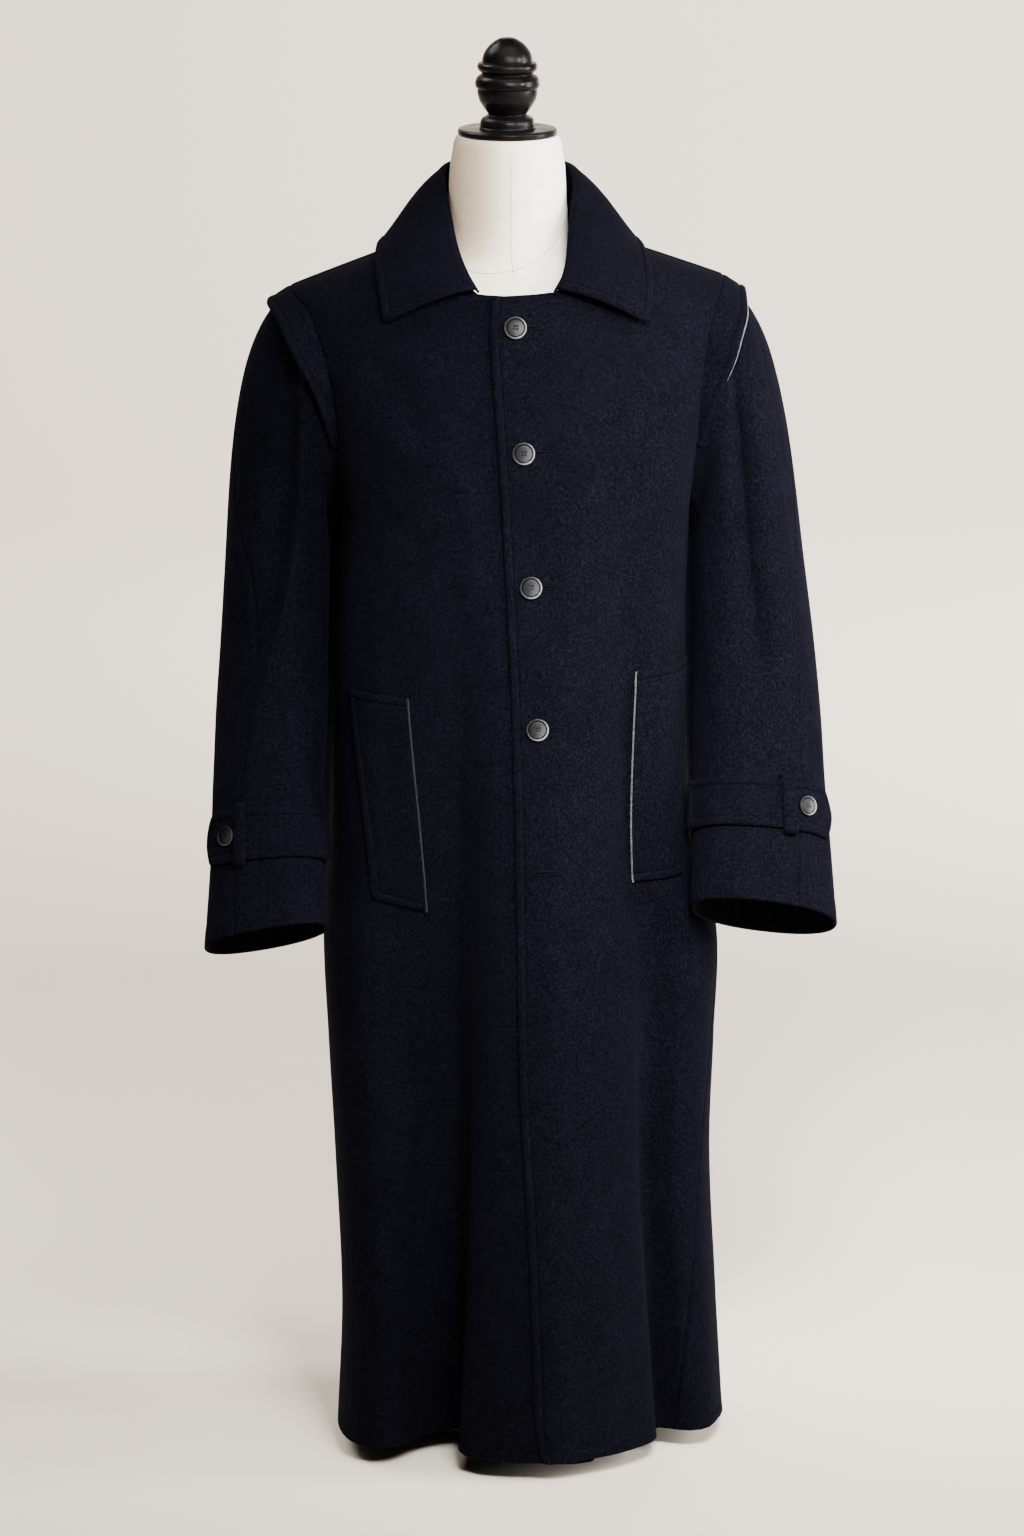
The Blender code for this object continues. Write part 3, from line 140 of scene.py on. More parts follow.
# leading edge of the left front: z x
LEADING_EDGE = np.array([
    (0.016, 0.0363), (0.050, 0.0280), (0.120, 0.0250), (0.240, 0.0205), (0.400, 0.0120),
    (0.560, 0.0090), (0.760, 0.0045), (0.930, -0.0035), (1.040, -0.0095), (1.150, -0.0172),
    (1.190, -0.0160),
])

# side seams in degrees: z right left
SIDE_SEAMS = np.array([
    (0.020, -92, 44), (0.110, -92, 50), (0.240, -92, 61), (0.500, -92, 78), (0.740, -92, 88),
    (0.956, -90, 90),
])

ARM_BOTTOM_INSET = 0.004
ARM_BOTTOM_RISE = 0.1
# armhole: rise right left
ARMHOLES = np.array([
    (0.00, 0.1630, 0.1800), (0.16, 0.1675, 0.1835), (0.32, 0.1672, 0.1870), (0.50, 0.1700, 0.1905),
    (0.63, 0.1750, 0.1945), (0.78, 0.1851, 0.1985), (0.92, 0.1984, 0.2075), (1.00, 0.2156, 0.2135),
])

# neckline of one half: t x z shift; the height of the neck point is the ridge's
NECK_POINT_T = 0.52
NECKLINE = np.array([
    (0.00, 0.038, 1.1860, 0.009), (0.13, 0.052, 1.2000, 0.006), (0.26, 0.064, 1.2120, 0.003),
    (0.39, 0.073, 1.2215, 0.000), (0.52, 0.078, np.nan, 0.000), (0.66, 0.068, 1.2285, 0.000),
    (0.83, 0.045, 1.2245, 0.000), (1.00, 0.000, 1.2220, 0.000),
])
TOP_EDGE_FALL = 0.05

# sleeve rings: z inner outer y depth pitch roll seam, lowest first
RINGS = {
    -1: np.array([
        (0.543, 0.1771, 0.2998, -0.118, 0.043, 28, 0.18, 120),
        (0.630, 0.1810, 0.2942, -0.073, 0.052, 25, 0.10, 121),
        (0.685, 0.1827, 0.2931, -0.050, 0.057, 22, 0.05, 116),
        (0.750, 0.1786, 0.2906, -0.026, 0.065, 16, 0.02, 108),
        (0.820, 0.1779, 0.2859, -0.008, 0.071, 9, 0.00, 109),
        (0.900, 0.1766, 0.2811, 0.004, 0.076, 2, 0.00, 122),
    ]),
    1: np.array([
        (0.5625, 0.1818, 0.3264, -0.104, 0.051, 31, 0.12, 115),
        (0.640, 0.1820, 0.3203, -0.064, 0.058, 27, 0.07, 122),
        (0.685, 0.1822, 0.3161, -0.044, 0.062, 23, 0.04, 127),
        (0.750, 0.1822, 0.3121, -0.022, 0.068, 16, 0.02, 128),
        (0.820, 0.1828, 0.3054, -0.006, 0.073, 9, 0.00, 131),
        (0.900, 0.1835, 0.2954, 0.004, 0.077, 2, 0.00, 139),
    ]),
}
SLEEVE_TOP_Z = 0.900
SLEEVE_POWER = 2.25

# flange: rise out down forward
FLANGE = np.array([
    (0.30, 0.0045, 0.0000, 0.0015), (0.44, 0.0120, 0.0000, 0.0038), (0.58, 0.0208, 0.0005, 0.0050),
    (0.70, 0.0282, 0.0025, 0.0058), (0.81, 0.0305, 0.0060, 0.0050), (0.91, 0.0290, 0.0110, 0.0030),
    (1.00, 0.0225, 0.0150, 0.0000),
])

# collar of one half: t, roll line xyz, free edge xyz, shift
COLLAR = np.array([
    (0.00, 0.0380, -0.1110, 1.1925, 0.1300, -0.1120, 1.1590, 0.009),
    (0.13, 0.0475, -0.0940, 1.2090, 0.1345, -0.0880, 1.1870, 0.008),
    (0.26, 0.0540, -0.0700, 1.2300, 0.1355, -0.0500, 1.2090, 0.005),
    (0.39, 0.0590, -0.0370, 1.2560, 0.1330, -0.0150, 1.2180, 0.003),
    (0.52, 0.0645, -0.0030, 1.2820, 0.1280, 0.0200, 1.2190, 0.002),
    (0.66, 0.0620, 0.0300, 1.2930, 0.1130, 0.0550, 1.2135, 0.001),
    (0.83, 0.0420, 0.0590, 1.2980, 0.0680, 0.0860, 1.2040, 0.000),
    (1.00, 0.0000, 0.0710, 1.3000, 0.0000, 0.0950, 1.2040, 0.000),
])
COLLAR_PUFF = 0.008
STAND_CLEAR = 0.0010

# pockets: side top_z foot_z top_inner top_outer foot_inner foot_outer top_rise foot_rise
POCKETS = [
    (-1, 0.790, 0.573, -31.5, -53, -25.4, -43.5, 0.004, 0.013),
    (1, 0.812, 0.597, 40, 73, 36, 58, 0.004, 0.004),
]

# straps: side start button tip loop start_z tip_z start_off
STRAPS = [
    (-1, 16, 129.5, 165, 115, 0.628, 0.632, 0.0035),
    (1, 18, 127, 165, 112, 0.656, 0.654, 0.0025),
]
STRAP_POINT = 14
START_FADE = 14

BUTTON_HEIGHTS = [1.154, 1.035, 0.903, 0.763]
EMPTY_HOLE_Z = 0.620

# dress form: z half front back power
FORM = np.array([
    (0.600, 0.100, 0.072, 0.072, 2.3), (0.612, 0.124, 0.090, 0.088, 2.3),
    (0.650, 0.136, 0.098, 0.094, 2.4), (0.740, 0.137, 0.104, 0.094, 2.5),
    (0.860, 0.138, 0.113, 0.098, 2.6), (0.960, 0.142, 0.119, 0.105, 2.7),
    (1.060, 0.150, 0.118, 0.108, 2.7), (1.130, 0.158, 0.107, 0.100, 2.6),
    (1.165, 0.153, 0.095, 0.083, 2.5), (1.185, 0.133, 0.086, 0.071, 2.4),
    (1.200, 0.100, 0.077, 0.062, 2.2), (1.213, 0.074, 0.067, 0.0570, 2.0),
    (1.230, 0.0620, 0.0610, 0.0550, 2.0), (1.250, 0.0590, 0.0580, 0.0545, 2.0),
    (1.273, 0.0579, 0.0575, 0.0540, 2.0), (1.298, 0.0564, 0.0560, 0.0535, 2.0),
    (1.3155, 0.0536, 0.0536, 0.0520, 2.0), (1.3230, 0.0522, 0.0522, 0.0510, 2.0),
    (1.3276, 0.0495, 0.0495, 0.0490, 2.0),
])

DISC_PROFILE = [
    (0.0, 1.3342), (0.0477, 1.3342), (0.0489, 1.3330), (0.0489, 1.3293), (0.0477, 1.3281),
    (0.0, 1.3281),
]
FINIAL_PROFILE = [
    (0.0, 1.4242), (0.0050, 1.4237), (0.0093, 1.4223), (0.0163, 1.4175), (0.0215, 1.4113),
    (0.0240, 1.4060), (0.0249, 1.4015), (0.0248, 1.4000), (0.0262, 1.3996), (0.0280, 1.3990),
    (0.0293, 1.3974), (0.0297, 1.3953), (0.0293, 1.3932), (0.0280, 1.3912), (0.0264, 1.3900),
    (0.0255, 1.3890), (0.0256, 1.3880), (0.0270, 1.3872), (0.0290, 1.3858), (0.0307, 1.3835),
    (0.0316, 1.3808), (0.0318, 1.3780), (0.0314, 1.3758), (0.0305, 1.3744), (0.0297, 1.3738),
    (0.0297, 1.3720), (0.0294, 1.3680), (0.0278, 1.3622), (0.0249, 1.3570), (0.0215, 1.3520),
    (0.0195, 1.3492), (0.0194, 1.3480), (0.0212, 1.3468), (0.0244, 1.3450), (0.0262, 1.3426),
    (0.0268, 1.3396), (0.0267, 1.3362), (0.0258, 1.3345), (0.0, 1.3345),
]

# ---------------------------------------------------------------- creases

# on the fronts (y < 0) and the back, seen straight on: from x z to x z, width, depth (+ stands out)
FRONT_CREASES = [
    (-0.140, 1.120, -0.085, 1.060, 0.016, -0.0022),
    (-0.152, 1.060, -0.070, 1.010, 0.014, 0.0016),
    (-0.060, 1.035, -0.040, 0.900, 0.013, 0.0026),
    (-0.148, 0.985, -0.080, 0.930, 0.013, -0.0018),
    (-0.120, 0.900, -0.070, 0.840, 0.012, 0.0012),
    (0.160, 1.075, 0.095, 1.010, 0.015, -0.0020),
    (0.150, 1.010, 0.085, 0.960, 0.012, 0.0015),
    (0.120, 0.940, 0.070, 0.900, 0.012, -0.0014),
    (0.060, 0.880, 0.045, 0.770, 0.012, 0.0015),
    (0.030, 0.560, 0.036, 0.420, 0.014, 0.0012),
    (-0.015, 0.470, -0.010, 0.300, 0.013, -0.0013),
    (-0.100, 0.520, -0.090, 0.360, 0.014, 0.0016),
    (0.060, 0.330, 0.072, 0.170, 0.013, 0.0014),
]
BACK_CREASES = [
    (-0.150, 1.080, -0.075, 1.030, 0.017, -0.0022),
    (0.155, 1.070, 0.085, 1.010, 0.015, -0.0024),
    (-0.140, 1.005, -0.080, 0.965, 0.013, 0.0016),
    (0.130, 0.990, 0.060, 0.950, 0.014, 0.0018),
    (-0.030, 1.150, -0.036, 1.000, 0.020, 0.0016),
    (0.045, 1.120, 0.040, 0.985, 0.016, -0.0014),
    (0.010, 0.860, 0.016, 0.700, 0.015, 0.0014),
    (-0.075, 0.780, -0.085, 0.620, 0.014, -0.0013),
    (0.090, 0.700, 0.082, 0.560, 0.013, 0.0015),
    (-0.020, 0.450, -0.026, 0.280, 0.015, 0.0013),
]
# on a sleeve: from turn, height share to turn, height share, width, depth; the height share is 0 at
# the cuff and 1 at the armhole
SLEEVE_CREASES = {
    1: [
        (150, 0.43, 116, 0.36, 0.009, 0.0013), (148, 0.36, 122, 0.30, 0.008, -0.0012),
        (200, 0.92, 214, 0.66, 0.014, 0.0024), (235, 0.88, 242, 0.60, 0.016, -0.0026),
        (300, 0.55, 250, 0.50, 0.013, 0.0024), (310, 0.48, 255, 0.44, 0.012, -0.0022),
        (325, 0.42, 280, 0.39, 0.011, 0.0014), (130, 0.30, 120, 0.12, 0.011, 0.0013),
    ],
    -1: [
        (155, 0.46, 128, 0.37, 0.008, 0.0016), (158, 0.38, 132, 0.30, 0.007, -0.0016),
        (156, 0.32, 134, 0.26, 0.007, 0.0013), (150, 0.905, 148, 0.82, 0.006, 0.0014),
        (205, 0.90, 222, 0.62, 0.015, 0.0026), (246, 0.86, 250, 0.62, 0.014, -0.0022),
        (305, 0.53, 258, 0.47, 0.012, -0.0024), (315, 0.46, 262, 0.41, 0.012, 0.0020),
        (150, 0.28, 140, 0.10, 0.011, 0.0014),
    ],
}

# cuts across the long folds of the sleeves: distance towards higher turns and height
RIDGE_FOLD = np.array([
    (-0.055, 0.0), (-0.028, 0.0018), (-0.010, 0.0046), (0.000, 0.0060), (0.0025, 0.0042), (0.005, 0.0006),
    (0.008, -0.0030), (0.012, -0.0058), (0.018, -0.0078), (0.026, -0.0088), (0.036, -0.0086),
    (0.050, -0.0070), (0.068, -0.0034), (0.090, 0.0),
])
STEP_FOLD = np.array([
    (-0.050, 0.0), (-0.038, 0.0010), (-0.027, 0.0010), (-0.014, -0.0016), (-0.004, -0.0052),
    (0.000, -0.0066), (0.002, -0.0058), (0.006, -0.0034), (0.014, 0.0004), (0.024, 0.0034),
    (0.034, 0.0042), (0.048, 0.0028), (0.066, 0.0),
])
SOFT_FOLD = np.array([(-0.032, 0.0), (-0.012, 0.0026), (0.000, 0.0040), (0.012, 0.0026), (0.032, 0.0)])
FOLD_PER_TURN = 0.0012
# where they run: height share, turn, strength
SLEEVE_FOLDS = {
    1: [
        (STEP_FOLD, [
            (0.33, 100, 0.0), (0.45, 97, 0.35), (0.55, 94, 0.75), (0.65, 92, 1.0), (0.75, 89, 1.15),
            (0.83, 84, 1.15), (0.90, 86, 1.0), (0.95, 104, 0.6), (0.985, 114, 0.0),
        ]),
        (SOFT_FOLD, [(0.30, 60, 0.0), (0.45, 52, 0.7), (0.70, 44, 1.0), (0.86, 40, 0.6), (0.95, 42, 0.0)]),
        (SOFT_FOLD, [(0.30, 250, 0.0), (0.50, 246, 0.8), (0.80, 238, 1.0), (0.93, 225, 0.0)]),
    ],
    -1: [
        (RIDGE_FOLD, [
            (0.28, 116, 0.0), (0.40, 107, 0.35), (0.50, 95, 0.75), (0.60, 85, 0.95), (0.70, 76, 1.0),
            (0.80, 66, 1.0), (0.88, 65, 0.95), (0.94, 76, 0.6), (0.985, 92, 0.0),
        ]),
        (SOFT_FOLD, [(0.20, 40, 0.0), (0.40, 38, 0.8), (0.70, 34, 1.0), (0.86, 32, 0.5), (0.95, 34, 0.0)]),
        (SOFT_FOLD, [(0.28, 262, 0.0), (0.50, 254, -0.9), (0.78, 244, -1.1), (0.92, 228, 0.0)]),
        (SOFT_FOLD, [(0.00, 94, -0.5), (0.10, 96, -0.5), (0.24, 100, 0.0)]),
    ],
}

SIDES = ((1, "left"), (-1, "right"))

# ---------------------------------------------------------------- small helpers


def hermite(low, start, high, end, t):
    """A cubic from low to high that leaves along start and arrives along end."""
    left = 1 - t
    return (
        low * ((1 + 2 * t) * left ** 2)
        + start * (t * left ** 2)
        + high * (t * t * (3 - 2 * t))
        - end * (t * t * left)
    )


def along(table, keys):
    """Rows of a table at keys between its rows, on smooth curves through them."""
    table = np.asarray(table, float)
    keys = np.clip(np.asarray(keys, float), table[0, 0], table[-1, 0])
    last = len(table) - 1
    i = np.clip(np.searchsorted(table[:, 0], keys, side="right") - 1, 0, last - 1)
    before, low, high, after = (table[np.clip(i + step, 0, last)] for step in (-1, 0, 1, 2))
    span = (high - low)[..., :1]
    start = (high - before) / (high - before)[..., :1] * span
    end = (after - low) / (after - low)[..., :1] * span
    return hermite(low, start, high, end, (keys[..., None] - low[..., :1]) / span)


def smooth(t):
    t = np.clip(t, 0.0, 1.0)
    return t * t * (3 - 2 * t)


def mix(a, b, t):
    return a + (b - a) * t


def unit(vectors):
    return vectors / np.maximum(np.linalg.norm(vectors, axis=-1, keepdims=True), 1e-12)


def stack(x, y, z):
    return np.stack(np.broadcast_arrays(x, y, z), axis=-1)


def refine(stops, parts):
    """Evenly more stations between the stops."""
    wanted = np.arange((len(stops) - 1) * parts + 1) / parts
    return np.interp(wanted, np.arange(len(stops)), stops)


def shares_of(values):
    """Values as shares of the way from the first to the last."""
    return (values - values[0]) / (values[-1] - values[0])


def by_side(row, side):
    """One side's value from a row of a key, the wearer's right and the wearer's left."""
    return row[..., 2] if side > 0 else row[..., 1]


def lengths_of(points):
    """Distance along the last but one axis of a run of points."""
    steps = np.linalg.norm(np.diff(points, axis=-2), axis=-1)
    return np.concatenate([np.zeros(steps.shape[:-1] + (1,)), np.cumsum(steps, axis=-1)], axis=-1)


def distance_from(grid, edge, line="column"):
    """Distance of the points of a grid from its first or last column or row, along the cloth."""
    if line == "row":
        return distance_from(grid.swapaxes(0, 1), edge).swapaxes(0, 1)
    return lengths_of(grid) if edge == "first" else lengths_of(grid[:, ::-1])[:, ::-1]


# ---------------------------------------------------------------- the garment's surface

LAP_FADE = 0.06
CREASE_BOW = 0.10       # of a crease's length
SIDE_FADE = 0.05        # the creases of the fronts and back fade out this near the sides
NORMAL_STEP = (0.05, 0.0004)


def plan_point(deg, power):
    s = np.sin(np.radians(deg))
    c = np.cos(np.radians(deg))
    reach = (np.abs(s) ** power + np.abs(c) ** power) ** (-1 / power)
    return s * reach, c * reach


def side_fullness(deg, z):
    turn = np.abs((deg + 180) % 360 - 180)
    near = smooth((turn - FULL_START) / (FULL_PEAK - FULL_START))
    return along(FULLNESS, z)[..., 1] * near * smooth((FULL_END - turn) / (FULL_END - FULL_PEAK))


def plain_section(deg, z):
    row = along(SECTIONS, z)
    side, ahead = plan_point(deg, row[..., 5])
    x = side * np.where(side > 0, row[..., 2], row[..., 1]) + np.sign(side) * side_fullness(deg, z)
    return x, -ahead * np.where(ahead > 0, row[..., 3], row[..., 4])


def ridge_z(x):
    slope = mix(RIDGE_SLOPE[-1], RIDGE_SLOPE[1], smooth(0.5 + x / 0.20))
    return RIDGE_TOP_Z - slope * np.hypot(x, RIDGE_ROUND)


def rise_of(level):
    return np.sin(level * math.pi / 2) ** (2 / ARCH_POWER)


def level_of(rise):
    return np.arcsin(rise ** (ARCH_POWER / 2)) * 2 / math.pi


def half_width(side, rise):
    low = np.where(side > 0, SECTIONS[-1, 2], SECTIONS[-1, 1])
    high = np.where(side > 0, SHOULDER_HALF[1], SHOULDER_HALF[-1])
    return mix(low, high, rise ** SHOULDER_SHARE)


def fold_shift(deg, z):
    fold = along(ROUND_FOLDS, (deg + 110) % 360 - 110)
    top = fold[..., 3]
    growth = fold[..., 4]
    opening = np.clip((top - z) / (top - HEM_Z), 0, None)
    hem_x, hem_y = plain_section(deg, np.full_like(z, HEM_Z))
    across = (fold[..., 1] - hem_x) * opening ** (growth + DRIFT_LATE)
    return across, (fold[..., 2] - hem_y) * opening ** growth


def coat_point(deg, level):
    """Outer surface. A level below 0 is a depth under the underarm, above 0 it climbs to the ridge."""
    deg, level = np.broadcast_arrays(np.asarray(deg, float), np.asarray(level, float))
    low_z = UNDERARM_Z + np.minimum(level, 0)
    low_x, low_y = plain_section(deg, low_z)
    climb = np.maximum(level, 0)
    rise = rise_of(climb)
    turn = np.cos(climb * math.pi / 2)
    lean = np.copysign(np.abs(turn) ** (2 / ARCH_POWER), turn)
    side, ahead = plan_point(deg, UPPER_POWER)
    high_x = side * half_width(side, rise)
    high_y = -ahead * lean * np.where(ahead > 0, SECTIONS[-1, 3], SECTIONS[-1, 4])
    high_z = UNDERARM_Z + (ridge_z(high_x) - UNDERARM_Z) * rise
    high_x = high_x + np.sign(side) * side_fullness(deg, high_z)
    above = level > 0
    z = np.where(above, high_z, low_z)
    shift_x, shift_y = fold_shift(deg, z)
    return stack(np.where(above, high_x, low_x) + shift_x, np.where(above, high_y, low_y) + shift_y, z)


def coat_normal(deg, level):
    du, dv = NORMAL_STEP
    across = coat_point(deg + du, level) - coat_point(deg - du, level)
    up = coat_point(deg, level + dv) - coat_point(deg, level - dv)
    return unit(np.cross(across, up))


def upper_deg(x, rise):
    """The front angle of a point above the underarm, from its x."""
    side = np.where(x > 0, 1, -1)
    share = np.minimum(np.abs(x) / half_width(side, rise), 1.0)
    ahead = (1 - share ** UPPER_POWER) ** (1 / UPPER_POWER)
    return side * np.degrees(np.arctan2(share, ahead))


def upper_place(x, z):
    rise = np.minimum((z - UNDERARM_Z) / (ridge_z(x) - UNDERARM_Z), 1.0)
    return upper_deg(x, rise), level_of(rise)


def deg_at_x(x, level, low, high):
    """The angle between low and high where the surface reaches x."""
    degs = np.linspace(low, high, 400)
    return float(np.interp(x, coat_point(degs, level)[:, 0], degs))


def place_at(x, z):
    """Angle and level of a point of the fronts near the leading edge."""
    if z > UNDERARM_Z:
        return tuple(float(v) for v in upper_place(x, z))
    return deg_at_x(x, z - UNDERARM_Z, -11, 27), z - UNDERARM_Z


def armhole_deg(side, level):
    rise = rise_of(level)
    widest = half_width(side, rise) * (1 - ARM_BOTTOM_INSET * np.minimum(rise / ARM_BOTTOM_RISE, 1.0))
    return upper_deg(side * np.minimum(by_side(along(ARMHOLES, rise), side), widest), rise)


def leading_x(z):
    return along(LEADING_EDGE, z)[..., 1]


def neck_xz(side, t):
    rows = NECKLINE.copy()
    point = np.isnan(rows[:, 2])
    rows[point, 2] = ridge_z(side * rows[point, 1])
    row = along(rows, t)
    x = side * row[..., 1] + row[..., 3]
    return x, np.minimum(row[..., 2], ridge_z(x))


def neck_place(side, t):
    return upper_place(*neck_xz(side, t))


def lap_lift(x, z):
    """How far the left front stands off to pass over the right front."""
    return (WALL + LAY) * (1 - smooth((x - leading_x(z) - LAP - 0.004) / LAP_FADE))


def stroke(a, b, run, width, depth):
    """Height of one soft crease with a slight bow, at offsets a and b from its start."""
    length = math.hypot(*run)
    t = (a * run[0] + b * run[1]) / length ** 2
    off = (b * run[0] - a * run[1]) / length
    bow = CREASE_BOW * length * np.sin(np.clip(t, 0, 1) * math.pi)
    fade = smooth((t + 0.25) / 0.45) * smooth((1.25 - t) / 0.45)
    return depth * fade * np.exp(-((off - bow) / width) ** 2)


def crease_lift(points, strokes):
    """Height of soft creases at points, from strokes drawn in the x-z plane."""
    lift = np.zeros(points.shape[:-1])
    for x0, z0, x1, z1, width, depth in strokes:
        lift += stroke(points[..., 0] - x0, points[..., 2] - z0, (x1 - x0, z1 - z0), width, depth)
    return lift


def creased(points, normals):
    """Points with the creases of the fronts or the back."""
    front = points[..., 1] < 0
    lift = np.where(front, crease_lift(points, FRONT_CREASES), crease_lift(points, BACK_CREASES))
    return points + normals * (lift * smooth(np.abs(points[..., 1]) / SIDE_FADE))[..., None]


# ---------------------------------------------------------------- materials


def grey(value):
    return (value, value, value)


def scaled(colour, factor):
    return tuple(c * factor for c in colour)


class Look:
    """A material on its way, with the node steps that the looks share."""

    def __init__(self, name, space="Object"):
        self.made = bpy.data.materials.new(name)
        self.made.use_nodes = True
        self.tree = self.made.node_tree
        self.place = self.step("TexCoord", space)

    def put(self, node, sockets):
        """Link or set the sockets of a node."""
        for key, value in sockets.items():
            if isinstance(value, bpy.types.NodeSocket):
                self.tree.links.new(value, node.inputs[key])
            else:
                node.inputs[key].default_value = value

    def step(self, kind, output, sockets=(), **settings):
        """Add a node with its settings and sockets, and return one of its outputs."""
        node = self.tree.nodes.new("ShaderNode" + kind)
        for key, value in settings.items():
            setattr(node, key, value)
        self.put(node, dict(sockets))
        return node.outputs[output]

    def noise(self, scale, detail, stretch=(1, 1, 1)):
        at = self.step("Mapping", "Vector", {"Vector": self.place, "Scale": stretch})
        return self.step("TexNoise", "Fac", {"Vector": at, "Scale": scale, "Detail": detail})

    def ramp(self, factor, stops):
        node = self.tree.nodes.new("ShaderNodeValToRGB")
        while len(node.color_ramp.elements) < len(stops):
            node.color_ramp.elements.new(0.5)
        for element, (place, colour) in zip(node.color_ramp.elements, stops):
            element.position = place
            element.color = (*colour, 1.0)
        self.put(node, {"Fac": factor})
        return node.outputs["Color"]

    def bump(self, height, strength, distance, under=None):
        sockets = {"Height": height, "Strength": strength, "Distance": distance}
        if under:
            sockets["Normal"] = under
        return self.step("Bump", "Normal", sockets)

    def times(self, a, b):
        return self.step("Mix", "Result", {"Factor": 1.0, "A": a, "B": b}, data_type="RGBA",
                         blend_type="MULTIPLY")

    def finish(self, sockets):
        self.put(self.tree.nodes["Principled BSDF"], sockets)
        return self.made


def melton(name, tint):
    """Brushed wool: fine mottled nap, stray fibres and a faint sheen."""
    look = Look(name)
    clump = look.noise(500, 4, (1, 1, 0.75))
    fibre = look.noise(1900, 2, (1, 1, 0.3))
    nap = look.ramp(clump, [(0.32, scaled(tint, 0.50)), (0.50, tint), (0.70, scaled(tint, 2.1))])
    broad = look.ramp(look.noise(30, 5), [(0.3, grey(0.88)), (0.7, (1.10, 1.10, 1.12))])
    return look.finish({
        "Base Color": look.times(nap, broad),
        "Normal": look.bump(fibre, 0.35, 0.0002, look.bump(clump, 0.45, 0.0004)),
        "Roughness": 0.95,
        "Specular IOR Level": 0.010,
        "Sheen Weight": 0.011,
        "Sheen Roughness": 0.5,
        "Sheen Tint": (0.22, 0.23, 0.42, 1.0),
    })


def thread_material(name, colour):
    look = Look(name)
    twist = look.noise(2600, 2)
    return look.finish({
        "Base Color": look.ramp(twist, [(0.35, scaled(colour, 0.6)), (0.65, colour)]),
        "Normal": look.bump(twist, 0.5, 0.0002),
        "Roughness": 0.9,
        "Specular IOR Level": 0.03,
    })


def woven_material(name, dark, bright, depth, sides=None):
    """Plain weave of threads across and up, with slubs, and painted shade that may turn with the side."""
    look = Look(name)
    across = look.noise(1500, 2, (0.12, 0.12, 1))
    upward = look.noise(1500, 2, (1, 1, 0.12))
    weave = look.step("Math", 0, {0: across, 1: upward}, operation="ADD")
    tone = look.ramp(look.noise(90, 5, (1, 1, 2)), [(0.3, dark), (0.7, bright)])
    # painted shade: the tone darkens with the side the surface faces
    if sides:
        facing = look.step("SeparateXYZ", "X", {0: look.step("NewGeometry", "Normal")})
        share = look.step("Math", 0, {0: facing, 1: 0.5, 2: 0.5}, operation="MULTIPLY_ADD")
        tone = look.times(tone, look.ramp(share, sides))
    return look.finish({
        "Base Color": tone,
        "Normal": look.bump(weave, depth, 0.0003),
        "Roughness": 0.9,
        "Specular IOR Level": 0.2,
    })


def button_material(name, face, groove, rim):
    """Polished button: painted shade in a dark ring inside a rim made paler by a painted reflection, and
    painted light that makes the face paler low on one side.
    """
    look = Look(name, "Generated")
    disc = look.step("Mapping", "Vector",
                     {"Vector": look.place, "Location": (-1.0, -1.0, 0.0), "Scale": (2.0, 2.0, 0.0)})
    reach = look.step("VectorMath", "Value", {0: disc}, operation="LENGTH")
    # painted shade in the dark groove ring, and a painted reflection in the paler rim
    rings = look.ramp(reach, [(0.70, face), (0.755, groove), (0.80, groove), (0.86, rim), (0.94, rim),
                              (1.0, groove)])
    # painted light: the face darker at its upper left and paler towards its lower right
    painted_light_slant = look.step("VectorMath", "Value", {0: disc, 1: (0.42, -0.18, 0.0)}, operation="DOT_PRODUCT")
    lift = look.step("Math", 0, {0: painted_light_slant, 1: 0.5}, operation="ADD")
    shade = look.ramp(lift, [(0.15, (0.25, 0.25, 0.26)), (0.5, grey(0.7)), (0.85, grey(2.8))])
    return look.finish({
        "Base Color": look.times(rings, shade),
        "Roughness": look.ramp(look.noise(5, 4), [(0.35, grey(0.4)), (0.65, grey(0.5))]),
        "Specular IOR Level": 0.06,
    })


def glossy_material(name, dark, bright, roughness, scale, bump, metallic=0.0, gloss=0.5):
    """A hard polished or satin surface with slight unevenness of tone, gloss and face."""
    look = Look(name)
    cloud = look.noise(scale, 5)
    return look.finish({
        "Base Color": look.ramp(cloud, [(0.3, dark), (0.7, bright)]),
        "Roughness": look.ramp(cloud, [(0.35, grey(roughness * 0.8)), (0.65, grey(roughness * 1.25))]),
        "Normal": look.bump(cloud, bump, 0.0003),
        "Metallic": metallic,
        "Specular IOR Level": gloss,
    })


# the linen is in shade on the wearer's right: share of the way to the left, tint
SHADED_SIDE = [
    (0.0, (0.45, 0.38, 0.31)), (0.30, (0.62, 0.53, 0.45)),
    (0.50, (0.92, 0.88, 0.83)), (0.66, (1, 1, 1)),
]

WOOL = melton("wool_melton_nap", (0.0019, 0.0018, 0.0034))
# the back of the cloth inside the sleeves: paler than the face, partly its own tone and partly painted
# light where the insides of the cuffs show
REVERSE = melton("wool_melton_reverse", (0.0060, 0.0054, 0.0072))
THREAD = thread_material("navy_thread", (0.0026, 0.0026, 0.0050))
SLIT = thread_material("buttonhole_shadow", (0.0004, 0.0004, 0.0006))
SEAM_THREAD = thread_material("form_seam_thread", (0.62, 0.53, 0.42))
TACK = thread_material("brown_tack", (0.22, 0.12, 0.06))
